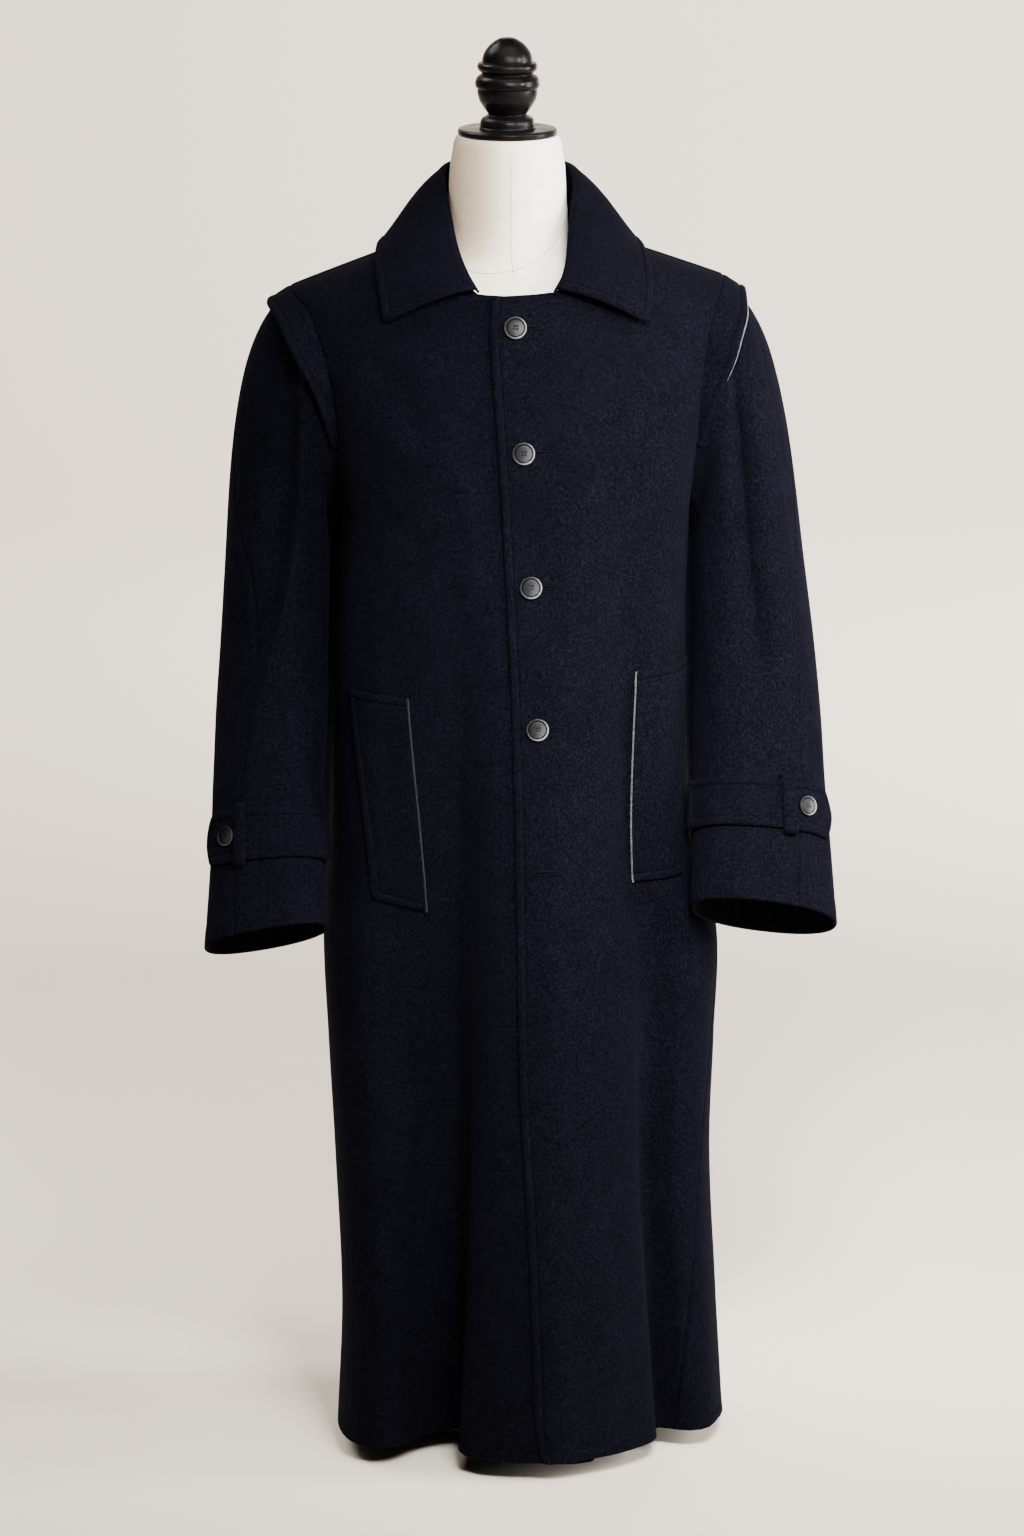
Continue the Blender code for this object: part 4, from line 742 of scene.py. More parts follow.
# the pocket binding on the wearer's right is a darker copy of the left one: painted shade
GREY_TRIMS = {
    "left": woven_material("grey_binding_weave", (0.028, 0.028, 0.030), (0.060, 0.060, 0.064), 0.4),
    "right": woven_material("shaded_binding_weave", (0.006, 0.006, 0.007), (0.014, 0.014, 0.015), 0.4),
}
FACING = woven_material("grey_facing_weave", (0.055, 0.055, 0.057), (0.10, 0.10, 0.103), 0.4)
BUTTON = button_material("dark_button_polish", (0.021, 0.021, 0.022), (0.0010, 0.0010, 0.0012),
                         (0.06, 0.06, 0.063))
# a darker copy of the button for the cuff on the wearer's right: painted shade
SHADED_BUTTON = button_material("shaded_button_polish", (0.006, 0.006, 0.0063), (0.0005, 0.0005, 0.0006),
                             (0.014, 0.014, 0.0145))
LINEN = woven_material("form_linen_weave", (0.86, 0.78, 0.68), (0.92, 0.85, 0.76), 0.25, SHADED_SIDE)
LACQUER = glossy_material("black_lacquer_turned", (0.002, 0.0017, 0.0017), (0.004, 0.0035, 0.0035),
                          0.30, 60, 0.03, gloss=0.08)
STEEL = glossy_material("dark_steel_satin", (0.045, 0.045, 0.047), (0.080, 0.080, 0.084),
                        0.38, 90, 0.1, metallic=0.9)

# ---------------------------------------------------------------- mesh builders


def link(made):
    bpy.context.scene.collection.objects.link(made)
    return made


def add_piece(name, mesh, slot, *nodes):
    made = link(bpy.data.objects.new(name, mesh))
    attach(made, "root")
    if nodes:
        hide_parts(*nodes)
    return made


def mesh_from(name, points, faces, look):
    """A mesh of points, an array or a list, and faces, an array of quads or a list."""
    mesh = bpy.data.meshes.new(name)
    faces = faces if isinstance(faces, list) else faces.tolist()
    mesh.from_pydata(np.asarray(points).tolist(), [], faces)
    mesh.materials.append(look)
    mesh.shade_smooth()
    return mesh


def face_outward(mesh, fill=False):
    """Turn the faces of a closed mesh outward, its open ends filled first if asked."""
    shape = bmesh.new()
    shape.from_mesh(mesh)
    if fill:
        bmesh.ops.holes_fill(shape, edges=shape.edges[:])
    bmesh.ops.recalc_face_normals(shape, faces=shape.faces[:])
    shape.to_mesh(mesh)
    shape.free()
    mesh.shade_smooth()
    return mesh


def ring_ids(rows, steps, start=0):
    """Vertex numbers of rows of rings, with the first of each ring again at its end."""
    ids = start + np.arange(rows * steps).reshape(rows, steps)
    return np.concatenate([ids, ids[:, :1]], axis=1)


def grid_faces(ids):
    """Quads between neighbouring cells of a grid of vertex numbers; -1 is no vertex."""
    quads = np.stack([ids[:-1, :-1], ids[:-1, 1:], ids[1:, 1:], ids[1:, :-1]], axis=-1).reshape(-1, 4)
    return quads[(quads >= 0).all(axis=1)]


def rim_faces(faces, count):
    """Quads that join the boundary of the outer faces to the inner side, `count` vertices on."""
    edges = np.concatenate([faces[:, [k, (k + 1) % 4]] for k in range(4)])
    key = np.sort(edges, axis=1)
    keys = key[:, 0] * (count + 1) + key[:, 1]
    _, first, uses = np.unique(keys, return_index=True, return_counts=True)
    rims = edges[first[uses == 1]]
    return np.stack([rims[:, 1], rims[:, 0], rims[:, 0] + count, rims[:, 1] + count], axis=1)


def shell(node, base, normals, outer, inner, mask=None, reverse=None):
    """The cloth that stands for a solid: an outer and inner side at given heights over a base grid."""
    name = f"{node}_cloth"
    if mask is None:
        mask = np.ones(base.shape[:2], bool)
    ids = np.where(mask, np.cumsum(mask).reshape(mask.shape) - 1, -1)
    count = int(mask.sum())
    top = (base + normals * outer[..., None])[mask]
    low = (base + normals * inner[..., None])[mask]
    faces = grid_faces(ids)
    a, b, c = top[faces[:, 0]], top[faces[:, 1]], top[faces[:, 3]]
    outward = np.einsum("ij,ij->i", np.cross(b - a, c - a), normals[mask][faces[:, 0]]).sum() > 0
    if not outward:
        faces = faces[:, ::-1]
    every = np.concatenate([faces, faces[:, ::-1] + count, rim_faces(faces, count)])
    mesh = mesh_from(name, np.concatenate([top, low]), every, WOOL)
    if reverse:
        mesh.materials.append(reverse)
        for index in range(len(faces), 2 * len(faces)):
            mesh.polygons[index].material_index = 1
    return add_piece(name, mesh, "wool_melton", node)


def cord_mesh(name, line, across, ups, look):
    """A closed oval tube along a line, from its half widths across and up."""
    turns = np.linspace(0, 2 * math.pi, 15)[:-1, None]
    tube = line[:, None] + across[:, None] * np.cos(turns) + ups[:, None] * np.sin(turns)
    mesh = mesh_from(name, tube.reshape(-1, 3), grid_faces(ring_ids(*tube.shape[:2])), look)
    return face_outward(mesh, fill=True)


# ---------------------------------------------------------------- turned edges and topstitching

STITCH_IN = 0.0085      # from a turned edge to its row of topstitching
EDGE_BAND = (
    0.0, 0.0003, 0.0009, 0.0018, 0.0034, 0.0052, 0.0066,
    0.0075, 0.0081, 0.0085, 0.0089, 0.0095, 0.0105, 0.0120,
)
STITCH_LINE = EDGE_BAND.index(STITCH_IN)
SEAM_BAND = (0.0, 0.0006, 0.0014, 0.0024, 0.0040)
PLAIN_BAND = (0.0, 0.0012, 0.0030)
PUFF = 0.0009
GROOVE = 0.0009
HEM_STITCH_UP = 0.012
HEM_EDGE = (HEM_STITCH_UP, 0.0005, 0.0007)      # stitch, puff and groove
HEM_AROUND_STITCH = (-0.004, -0.002, -0.001, -0.0004, 0, 0.0004, 0.001, 0.002)
NO_STITCH = 0.02        # too far in to leave a groove
EDGE_ROUND = 0.0017
SEAM_DIP = 0.0014
SEAM_REACH = 0.0030
FAR = 1.0


def edge_heights(distance, wall, stitch=STITCH_IN, puff=PUFF, groove=GROOVE):
    """Outer and inner heights of a turned, topstitched edge at distances from it."""
    near = np.clip(distance / EDGE_ROUND, 0.0, 1.0)
    rounded = np.maximum(np.sqrt(1 - (1 - near) ** 2), 0.10)
    hill = smooth(distance / 0.0022) * (1 - smooth((distance - stitch + 0.0022) / 0.0020)) * puff
    row = np.exp(-((distance - stitch) / 0.0009) ** 2) * groove
    return -wall / 2 + rounded * (wall / 2 + hill) - row, -wall / 2 - rounded * wall / 2


def seam_dip(distance):
    """How far cloth turns in at a plain seam."""
    return SEAM_DIP * (1 - smooth(distance / SEAM_REACH))


def at_reach(wanted, reach, values):
    """Values at a distance along a line, from their rows at the distances in reach."""
    return np.array([np.interp(wanted, reach, column) for column in values.T])


def stitches(name, runs, slot="wool_melton", pitch=0.0046, length=0.0034, radius=0.00028, look=THREAD):
    """Short capsules of thread along runs of (points, normals)."""
    rings = ((-0.5, 0.25), (-0.36, 1.0), (0.36, 1.0), (0.5, 0.25))
    sides = 6
    points = []
    faces = []
    for line, normals in runs:
        reach = lengths_of(line)
        for middle in np.arange(pitch / 2, reach[-1] - pitch / 2, pitch):
            first, centre, last = (at_reach(middle + s * length, reach, line) for s in (-0.5, 0.0, 0.5))
            up = unit(at_reach(middle, reach, normals))
            across = np.cross(unit(last - first), up)
            start = len(points)
            for share, size in rings:
                ring = centre + (last - first) * share - up * radius * (0.3 if size < 1 else -0.25)
                for turn in np.arange(sides) * 2 * math.pi / sides:
                    points.append(ring + (across * math.cos(turn) + up * math.sin(turn)) * radius * size)
            ids = ring_ids(len(rings), sides, start)
            faces += grid_faces(ids).tolist()
            for loop in (ids[0].tolist(), ids[-1].tolist()):
                faces += [loop[:4], loop[3:6] + loop[:1]]
    return add_piece(name, mesh_from(name, points, faces, look), slot)


def runs_along(base, outer, normals, *cuts):
    """Points and normals of the outer side of a shell along parts of its rows and columns."""
    skin = base + normals * outer[..., None]
    return [(skin[cut], normals[cut]) for cut in cuts]


def trimmed(points, edge, line="column", gap=SEAM_GAP / 2):
    """Draw the first or last column or row of a grid of points back by half the seam gap."""
    if line == "row":
        return trimmed(points.swapaxes(0, 1), edge, gap=gap).swapaxes(0, 1)
    at, near = (0, 1) if edge == "first" else (-1, -2)
    run = np.gradient(points[:, at], axis=0)
    toward = points[:, near] - points[:, at]
    toward -= run * (np.sum(toward * run, -1) / np.maximum(np.sum(run * run, -1), 1e-12))[:, None]
    points[:, at] += unit(toward) * gap
    return points


def round_corner(base, first, second, radius):
    """Round the corner of a grid where its distances from two edges are both small."""
    a = np.clip(radius - first, 0, None)
    b = np.clip(radius - second, 0, None)
    reach = np.hypot(a, b)
    share = np.where(reach > 0, np.maximum(a, b) / np.maximum(reach, 1e-9), 1.0)
    toward_first = unit(np.gradient(base, axis=0))
    toward_second = unit(np.gradient(base, axis=1))
    if first[0].mean() < first[-1].mean():
        toward_first = -toward_first
    if second[:, 0].mean() < second[:, -1].mean():
        toward_second = -toward_second
    both = (a > 0) & (b > 0)
    move = toward_first * (a * (share - 1))[..., None] + toward_second * (b * (share - 1))[..., None]
    nearest = np.where(both, radius - np.maximum(a, b), np.minimum(first, second))
    return base + np.where(both[..., None], move, 0.0), nearest


def round_ends(base, first, last, side, radius):
    """Round both corners of one side of a grid, the first in its first half of rows."""
    half = len(base) // 2
    parts = [round_corner(base[:half], first[:half], side[:half], radius),
             round_corner(base[half:], last[half:], side[half:], radius)]
    return tuple(np.concatenate(halves) for halves in zip(*parts))


def grid_normals(grid, hint):
    """Normals of a grid of points, on the side of a hint."""
    normals = unit(np.cross(np.gradient(grid, axis=0), np.gradient(grid, axis=1)))
    turned = np.sum(normals * hint, axis=-1, keepdims=True) < 0
    return np.where(turned, -normals, normals)


def patch_band(length, first_band=EDGE_BAND):
    """Shares across a patch, close together at its edges."""
    head = np.array(first_band) / length
    tail = 1 - np.array(EDGE_BAND[::-1]) / length
    count = max(3, int((tail[0] - head[-1]) * length / CELL))
    return np.concatenate([head, np.linspace(head[-1], tail[0], count + 1)[1:-1], tail])


# ---------------------------------------------------------------- body panels

CELL = 0.0046           # usual size of a cell of the shells
FINE = 6                # places looked up between two columns of the solid
ARM_ANCHOR = 38
CORNER_REACH = 4 * FINE
SHOULDER_CLIMB = 0.16   # usual distance on the cloth for one whole level near the shoulder seam
SEAM_LEVELS = 1 - np.array(SEAM_BAND[::-1]) / SHOULDER_CLIMB
LEVEL_STEP = 0.01
NEAR_HEM = 0.016
TOP_CORNER = 0.0055
HEM_CORNER = 0.0045
UNDERLAP_DROP = 0.0040  # how far the hem of the right front hangs lower at its leading edge
TOP_STEPS = 41
BACK_SPREAD = 0.36


def slide(deg, anchor, nominal_end, actual_end):
    """Angles beyond an anchor, stretched so that the nominal end comes to the actual end."""
    share = (deg - anchor) / (nominal_end - anchor)
    return np.where(share > 0, anchor + share * (actual_end - anchor), deg)


def fold_columns(low, high, spacing=6.5):
    stops = [low] + [deg for deg in ROUND_FOLDS[:, 0] if low + 1.5 < deg < high - 1.5] + [high]
    columns = []
    for a, b in zip(stops, stops[1:]):
        parts = max(1, round((b - a) / spacing + 0.2))
        columns += [mix(a, b, k / parts) for k in range(parts)]
    return np.array(columns + [high])


def lower_levels():
    """Levels under the underarm, close together round the hem's stitching."""
    hem = [HEM_Z + d for d in sorted({*EDGE_BAND[:5], *(HEM_STITCH_UP + e for e in HEM_AROUND_STITCH)})]
    return np.concatenate([hem, np.arange(hem[-1] + CELL, UNDERARM_Z - CELL / 2, CELL)]) - UNDERARM_Z


def even_levels(deg, low, high, count=600):
    """Levels from low to high that are evenly far apart on the surface at an angle."""
    levels = mix(low, high, smooth(np.linspace(0, 1, count)))
    reach = lengths_of(coat_point(deg, levels))
    wanted = np.linspace(0, reach[-1], max(2, int(reach[-1] / CELL)))
    return np.interp(wanted, reach, levels)


def last_numbers(reach, band):
    """Column numbers at the distances of a band from the last column."""
    return np.interp(reach[-1] - np.array(band[::-1]), reach, np.arange(len(reach)))


def stations(reach, first, last, corner):
    """Column numbers: at the first distances from one edge, evenly to the corner column and on, then
    at the last distances from the other edge."""
    head = np.interp(np.array(first), reach, np.arange(len(reach)))
    tail = last_numbers(reach, last)
    at, before, after = corner
    middle = [np.linspace(head[-1], at, before + 1)[1:], np.linspace(at, tail[0], after + 1)[1:-1]]
    return np.concatenate([head, *middle, tail])


def picked(row, numbers):
    """Places of a row at fractional column numbers."""
    return [np.interp(numbers, np.arange(len(values)), values) for values in row]


def picked_rows(rows, first, last, corner):
    """Places of rows at the stations of their own lengths."""
    return [picked(row, stations(lengths_of(coat_point(*row)), first, last, corner)) for row in rows]


def front_rows(side):
    """Fine rows of a front's places, (angles, levels), to its top corner and above it, and the column
    of the corner."""
    over = side > 0
    extra = 0.0 if over else LAP
    bracket = (-12, 12) if over else (0, 30)
    edge_anchor, seam_anchor = (17, 39) if over else (-2, -69)
    nominal_edge = deg_at_x(float(leading_x(UNDERARM_Z)) + extra, 0.0, *bracket)
    nominal_seam = by_side(SIDE_SEAMS[-1], side)
    coarse = fold_columns(*sorted((nominal_edge, nominal_seam)))[::side]
    corner_x, corner_z = (float(v) for v in neck_xz(side, 0.0))
    corner_deg, top_level = (float(v) for v in neck_place(side, 0.0))
    corner = int(np.argmin(np.abs(coarse - corner_deg))) * FINE
    columns = refine(coarse, FINE)
    numbers = np.arange(len(columns))
    falling = np.clip((corner + CORNER_REACH - numbers) / CORNER_REACH, 0, 1)
    near = np.where(numbers <= corner, numbers / corner, falling)

    def first_deg(level):
        x = float(leading_x(corner_z)) + extra
        for _ in range(3):
            x = float(leading_x(UNDERARM_Z + (ridge_z(x) - UNDERARM_Z) * rise_of(level))) + extra
        return float(upper_deg(x, rise_of(level)))

    def slid(level, corner_now):
        first = first_deg(level) if level > 0 else columns[0]
        last = float(armhole_deg(side, level)) if level > 0 else columns[-1]
        row = slide(columns, edge_anchor, columns[0], first)
        row = slide(row, side * ARM_ANCHOR, columns[-1], last)
        return row + (corner_deg - corner_now) * level / top_level * near

    corner_now = slid(top_level, corner_deg)[corner]
    top_row = slid(top_level, corner_now)
    xs = coat_point(top_row, top_level)[:, 0]
    top_z = corner_z - TOP_EDGE_FALL * np.abs(xs - corner_x)
    shares = np.where(numbers < corner, upper_place(xs, top_z)[1] / top_level, 1.0)
    per_metre = LEVEL_STEP / (corner_z - coat_point(corner_deg, top_level - LEVEL_STEP)[2])
    near_top = top_level - np.array(EDGE_BAND[::-1]) * per_metre
    chest = even_levels(side * 30.0, 0.0, near_top[0])[:-1]
    block = []
    for level in np.concatenate([lower_levels(), chest, near_top]):
        if level < 0:
            z = UNDERARM_Z + level
            edge = deg_at_x(float(leading_x(z)) + extra, level, *bracket)
            row = slide(columns, edge_anchor, nominal_edge, edge)
            row = slide(row, seam_anchor, nominal_seam, float(by_side(along(SIDE_SEAMS, z), side)))
            block.append((row, np.full(len(row), level)))
        else:
            block.append((slid(level, corner_now), level * shares))
    low = top_row[corner:]
    tip = by_side(ARMHOLES[-1], side)
    high = upper_deg(side * mix(NECK_POINT_X, tip, shares_of(xs[corner:])), 1.0)
    high[0] = float(neck_place(side, NECK_POINT_T)[0])
    neck = neck_place(side, np.linspace(0, NECK_POINT_T, 400))
    shoulder = []
    rising = even_levels(side * 30.0, top_level, SEAM_LEVELS[0])[1:-1]
    for level in np.concatenate([rising, SEAM_LEVELS]):
        v = (level - top_level) / (1 - top_level)
        ends = float(np.interp(level, neck[1], neck[0])), float(armhole_deg(side, level))
        row = mix(*ends, mix(shares_of(low), shares_of(high), v))
        shoulder.append((row, np.full(len(low), level)))
    return block, shoulder, corner


def front_grid(side):
    """Places of a front's shell, its mask, and the column and row where its shoulder starts."""
    block, shoulder, corner = front_rows(side)
    width = lengths_of(coat_point(*block[len(block) // 2]))
    before = max(3, int(width[corner] / CELL * 0.8))
    after = int((width[-1] - width[corner]) / CELL * 0.95)
    skip = len(EDGE_BAND) + before - 1
    places = picked_rows(block, EDGE_BAND, SEAM_BAND, (corner, before, after))
    for row in shoulder:
        tail = last_numbers(lengths_of(coat_point(*row)), SEAM_BAND)
        numbers = np.concatenate([np.zeros(skip), np.linspace(0, tail[0], after + 1)[:-1], tail])
        places.append(picked(row, numbers))
    degs, levels = np.array(places).swapaxes(0, 1)
    mask = np.ones(degs.shape, bool)
    mask[len(block):, :skip] = False
    return degs, levels, mask, skip, len(block)


def make_fronts():
    for side, word in SIDES:
        degs, levels, mask, skip, rows = front_grid(side)
        bare = coat_point(degs, levels)
        normals = coat_normal(degs, levels)
        lift = lap_lift(bare[..., 0], bare[..., 2]) if side > 0 else np.zeros(mask.shape)
        base = trimmed(creased(bare, normals) + normals * lift[..., None], "last")
        from_edge = distance_from(base, "first")
        from_edge[rows:] = FAR
        from_seam = distance_from(base, "last")
        from_hem = bare[..., 2] - HEM_Z
        fade = smooth((skip - np.arange(mask.shape[1])) / 2.0)
        from_top = np.full(mask.shape, FAR)
        from_top[:rows] = distance_from(base[:rows], "last", "row") + (1 - fade) * 0.05
        from_shoulder = np.full(mask.shape, FAR)
        from_shoulder[:, skip:] = distance_from(base[:, skip:], "last", "row")
        nearest = np.minimum(from_edge, from_top)
        block = np.s_[:rows, :skip]
        edge = from_edge[block]
        base[block], nearest[block] = round_corner(base[block], from_top[block], edge, TOP_CORNER)
        base[block], _ = round_corner(base[block], from_hem[block], edge, HEM_CORNER)
        if side < 0:
            low = smooth((0.060 - from_edge) / 0.050) * smooth((0.050 - from_hem) / 0.045)
            base[..., 2] -= UNDERLAP_DROP * low
        outer, inner = edge_heights(nearest, WALL)
        hem_outer, hem_inner = edge_heights(from_hem, WALL, *HEM_EDGE)
        outer = np.where(from_hem < NEAR_HEM, np.minimum(outer, hem_outer), outer)
        inner = np.where(from_hem < NEAR_HEM, np.maximum(inner, hem_inner), inner)
        outer = outer - seam_dip(np.minimum(from_seam, from_shoulder))
        made = shell(f"front_{word}", base, normals, outer, inner, mask)
        row_up = int(np.argmin(np.abs(from_hem[:rows, 0] - HEM_STITCH_UP)))
        row_top = rows - 1 - STITCH_LINE
        runs = runs_along(base, outer, normals, np.s_[row_up:row_top + 1, STITCH_LINE],
                          np.s_[row_up, STITCH_LINE:], np.s_[row_top, STITCH_LINE:skip])
        thread = stitches(f"front_{word}_topstitch", runs)


def back_top_places():
    """Angles and levels along the back's top edge, and where its two neck points are among them."""
    halves = []
    for side, _ in SIDES:
        tip = by_side(ARMHOLES[-1], side)
        shoulder = upper_deg(side * np.linspace(tip, NECK_POINT_X, TOP_STEPS), 1.0)
        neck = neck_place(side, np.linspace(NECK_POINT_T, 1.0, TOP_STEPS)[1:])
        halves.append(np.concatenate([[shoulder, np.ones(TOP_STEPS)], neck], axis=1))
    degs, levels = np.concatenate([halves[0], halves[1][:, -2::-1]], axis=1)
    return 180 - degs, levels, (TOP_STEPS - 1, len(degs) - TOP_STEPS)


def make_back():
    coarse = fold_columns(90, 270, 7.5)
    columns = refine(coarse, FINE)
    degs, levels, corners = back_top_places()
    reach = lengths_of(coat_point(degs, levels))
    wanted = np.linspace(0, reach[-1], len(coarse))
    for corner in corners:
        wanted[1 + int(np.argmin(np.abs(wanted[1:-1] - reach[corner])))] = reach[corner]
    wanted = refine(wanted, FINE)
    high_degs = np.interp(wanted, reach, degs)
    high_levels = np.interp(wanted, reach, levels)
    rows = []
    for level in lower_levels():
        seams = along(SIDE_SEAMS, UNDERARM_Z + level)
        row = slide(slide(columns, 122, 90, seams[2]), 245, 270, 360 + seams[1])
        rows.append((row, np.full(len(row), level)))
    for level in np.concatenate([even_levels(150.0, 0.0, SEAM_LEVELS[0])[:-1], SEAM_LEVELS]):
        ends = (columns[0], columns[-1])
        if level > 0:
            ends = 180 - float(armhole_deg(1, level)), 180 - float(armhole_deg(-1, level))
        low = slide(columns, 180 - ARM_ANCHOR, columns[0], ends[0])
        low = slide(low, 180 + ARM_ANCHOR, columns[-1], ends[1])
        row = mix(*ends, mix(shares_of(low), shares_of(high_degs), smooth(level)))
        rows.append((row, level * high_levels))
    half = int(BACK_SPREAD / CELL) // 2
    places = picked_rows(rows, SEAM_BAND, SEAM_BAND, (len(columns) // 2, half, half))
    degs, levels = np.array(places).swapaxes(0, 1)
    bare = coat_point(degs, levels)
    normals = coat_normal(degs, levels)
    base = creased(bare, normals)
    for edge, line in (("first", "column"), ("last", "column"), ("last", "row")):
        base = trimmed(base, edge, line)
    sides = np.minimum(distance_from(base, "first"), distance_from(base, "last"))
    from_hem = bare[..., 2] - HEM_Z
    outer, inner = edge_heights(from_hem, WALL, *HEM_EDGE)
    outer = outer - seam_dip(np.minimum(sides, distance_from(base, "last", "row")))
    made = shell("back", base, normals, outer, inner)
    row_up = int(np.argmin(np.abs(from_hem[:, 0] - HEM_STITCH_UP)))
    thread = stitches("back_hem_stitch", runs_along(base, outer, normals, np.s_[row_up]))


# ---------------------------------------------------------------- sleeves

SLEEVE_FINE = 240
CAP_OUT = 0.0014
CAP_NARROW = 0.0018
CAP_UNDER = 0.0030
CREASE_PER_TURN = 0.0009
CREASE_PER_SHARE = 0.62
CUFF_BAND = (0.0040, 0.0024, 0.0012, 0.0005, 0.0)


def ring_point(side, turn, z):
    row = along(RINGS[side], z)
    half = (row[..., 2] - row[..., 1]) / 2
    middle = (row[..., 2] + row[..., 1]) / 2
    inward, ahead = plan_point(90 - turn, SLEEVE_POWER)
    pitch = np.radians(row[..., 5])
    x = side * (middle - inward * half)
    y = row[..., 3] - ahead * row[..., 4] * np.cos(pitch)
    raised = ahead * row[..., 4] * np.sin(pitch) + inward * half * row[..., 6]
    return stack(x, y, z + raised)


def cap_start(side, turn):
    """Where the sleeve leaves the armhole, tucked in under the body's edge."""
    front = turn <= 180
    level = np.where(front, turn, 360 - turn) / 180
    deg = armhole_deg(side, np.maximum(level, 1e-6))
    deg = np.where(level <= 0, side * 90.0, deg)
    deg = np.where(front, deg, side * 180 - deg)
    tuck = smooth(level / 0.14)
    narrow = np.where(front, 1, -1) * smooth((level - 0.04) / 0.09) * smooth((0.6 - level) / 0.35)
    outward = stack(side * CAP_OUT, narrow * CAP_NARROW, CAP_OUT * (1 - tuck))
    inward = coat_normal(deg, level) * ((WALL + CAP_UNDER) * tuck)[..., None]
    return coat_point(deg, level) + outward - inward


def sleeve_point(side, turn, place):
    """Outer surface. A place below 0 is a depth under the top ring, above 0 a share of the cap."""
    turn, place = np.broadcast_arrays(np.asarray(turn, float) % 360, np.asarray(place, float))
    low = ring_point(side, turn, np.maximum(SLEEVE_TOP_Z + np.minimum(place, 0), RINGS[side][0, 0]))
    start = cap_start(side, turn)
    first = np.full(turn.shape, SLEEVE_TOP_Z)
    end = ring_point(side, turn, first)
    length = np.linalg.norm(end - start, axis=-1)[..., None]
    leave = stack(side * 0.62, -0.02 * np.sin(np.radians(turn)), -0.40) * length
    arrive = unit(ring_point(side, turn, first - 0.02) - end) * length
    cap = hermite(start, leave, end, arrive, (1 - np.clip(place, 0, 1))[..., None])
    return np.where((place > 0)[..., None], cap, low)


def sleeve_seam(side, place):
    low = along(RINGS[side], SLEEVE_TOP_Z + np.minimum(place, 0))[..., 7]
    return np.where(place <= 0, low, mix(180, RINGS[side][-1, 7], (1 - np.clip(place, 0, 1)) ** 2))


def sleeve_normal(side, turn, place):
    low = sleeve_point(side, turn, place - 0.002)
    high = sleeve_point(side, turn, np.minimum(place + 0.002, 1.0))
    across = sleeve_point(side, turn + 0.5, place) - sleeve_point(side, turn - 0.5, place)
    return unit(np.cross(across, high - low)) * side


def sleeve_share(side, place):
    """Height share of a place: 0 at the cuff, 0.72 at the first ring and 1 at the armhole."""
    floor = RINGS[side][0, 0] - SLEEVE_TOP_Z
    return np.where(place <= 0, 0.72 * (1 - place / floor), 0.72 + 0.28 * place)


def sleeve_creases(side, turn, place):
    share = sleeve_share(side, place)
    lift = np.zeros(np.broadcast(turn, place).shape)
    for t0, s0, t1, s1, width, depth in SLEEVE_CREASES[side]:
        run = ((t1 - t0) * CREASE_PER_TURN, (s1 - s0) * CREASE_PER_SHARE)
        a = (turn - t0) * CREASE_PER_TURN
        lift += stroke(a, (share - s0) * CREASE_PER_SHARE, run, width, depth)
    for cut, line in SLEEVE_FOLDS[side]:
        row = along(line, share)
        lift += row[..., 2] * along(cut, (turn - row[..., 1]) * FOLD_PER_TURN)[..., 1]
    return lift


def sleeve_surface(side, turn, place, lift=0.0):
    """Creased point and normal of a sleeve."""
    turn, place = np.broadcast_arrays(np.asarray(turn, float), np.asarray(place, float))
    normals = sleeve_normal(side, turn, place)
    height = sleeve_creases(side, turn, place) + lift
    return sleeve_point(side, turn, place) + normals * height[..., None], normals


def sleeve_rows(side):
    floor = RINGS[side][0, 0] - SLEEVE_TOP_Z
    below = np.linspace(0, floor + 0.0060, int(-floor / CELL))[1:]
    return np.concatenate([1 - np.linspace(0, 1, 56), below, floor + np.array(CUFF_BAND)])


def make_sleeves():
    for side, word in SIDES:
        places = sleeve_rows(side)
        for half, parts in (("front", 44), ("back", 20)):
            turns = []
            for place in places:
                seam = float(sleeve_seam(side, place))
                ends = (0.0, seam) if half == "front" else (seam, 360.0 - 1e-6)
                fine = np.linspace(*ends, SLEEVE_FINE)
                reach = lengths_of(sleeve_point(side, fine, place))
                numbers = stations(reach, SEAM_BAND, SEAM_BAND, (SLEEVE_FINE // 2, parts, parts))
                turns.append(np.interp(numbers, np.arange(SLEEVE_FINE), fine))
            base, normals = sleeve_surface(side, np.array(turns), places[:, None])
            base = trimmed(trimmed(base, "first"), "last")
            sides = np.minimum(distance_from(base, "first"), distance_from(base, "last"))
            from_cuff = distance_from(base, "last", "row")
            outer, inner = edge_heights(from_cuff, WALL, NO_STITCH, 0.0005, 0.0)
            outer = outer - seam_dip(sides)
            made = shell(f"sleeve_{half}_{word}", base, normals, outer, inner, reverse=REVERSE)


# ---------------------------------------------------------------- flanges

FLANGE_ROWS = 70        # from an end to the top of the shoulder
FLANGE_HEAD = np.array([0.0, 0.0006, 0.0016])
FLANGE_STITCH = EDGE_BAND.index(0.0081)
FACING_LOW_Z = 1.096
FACING_HIGH_Z = 1.186


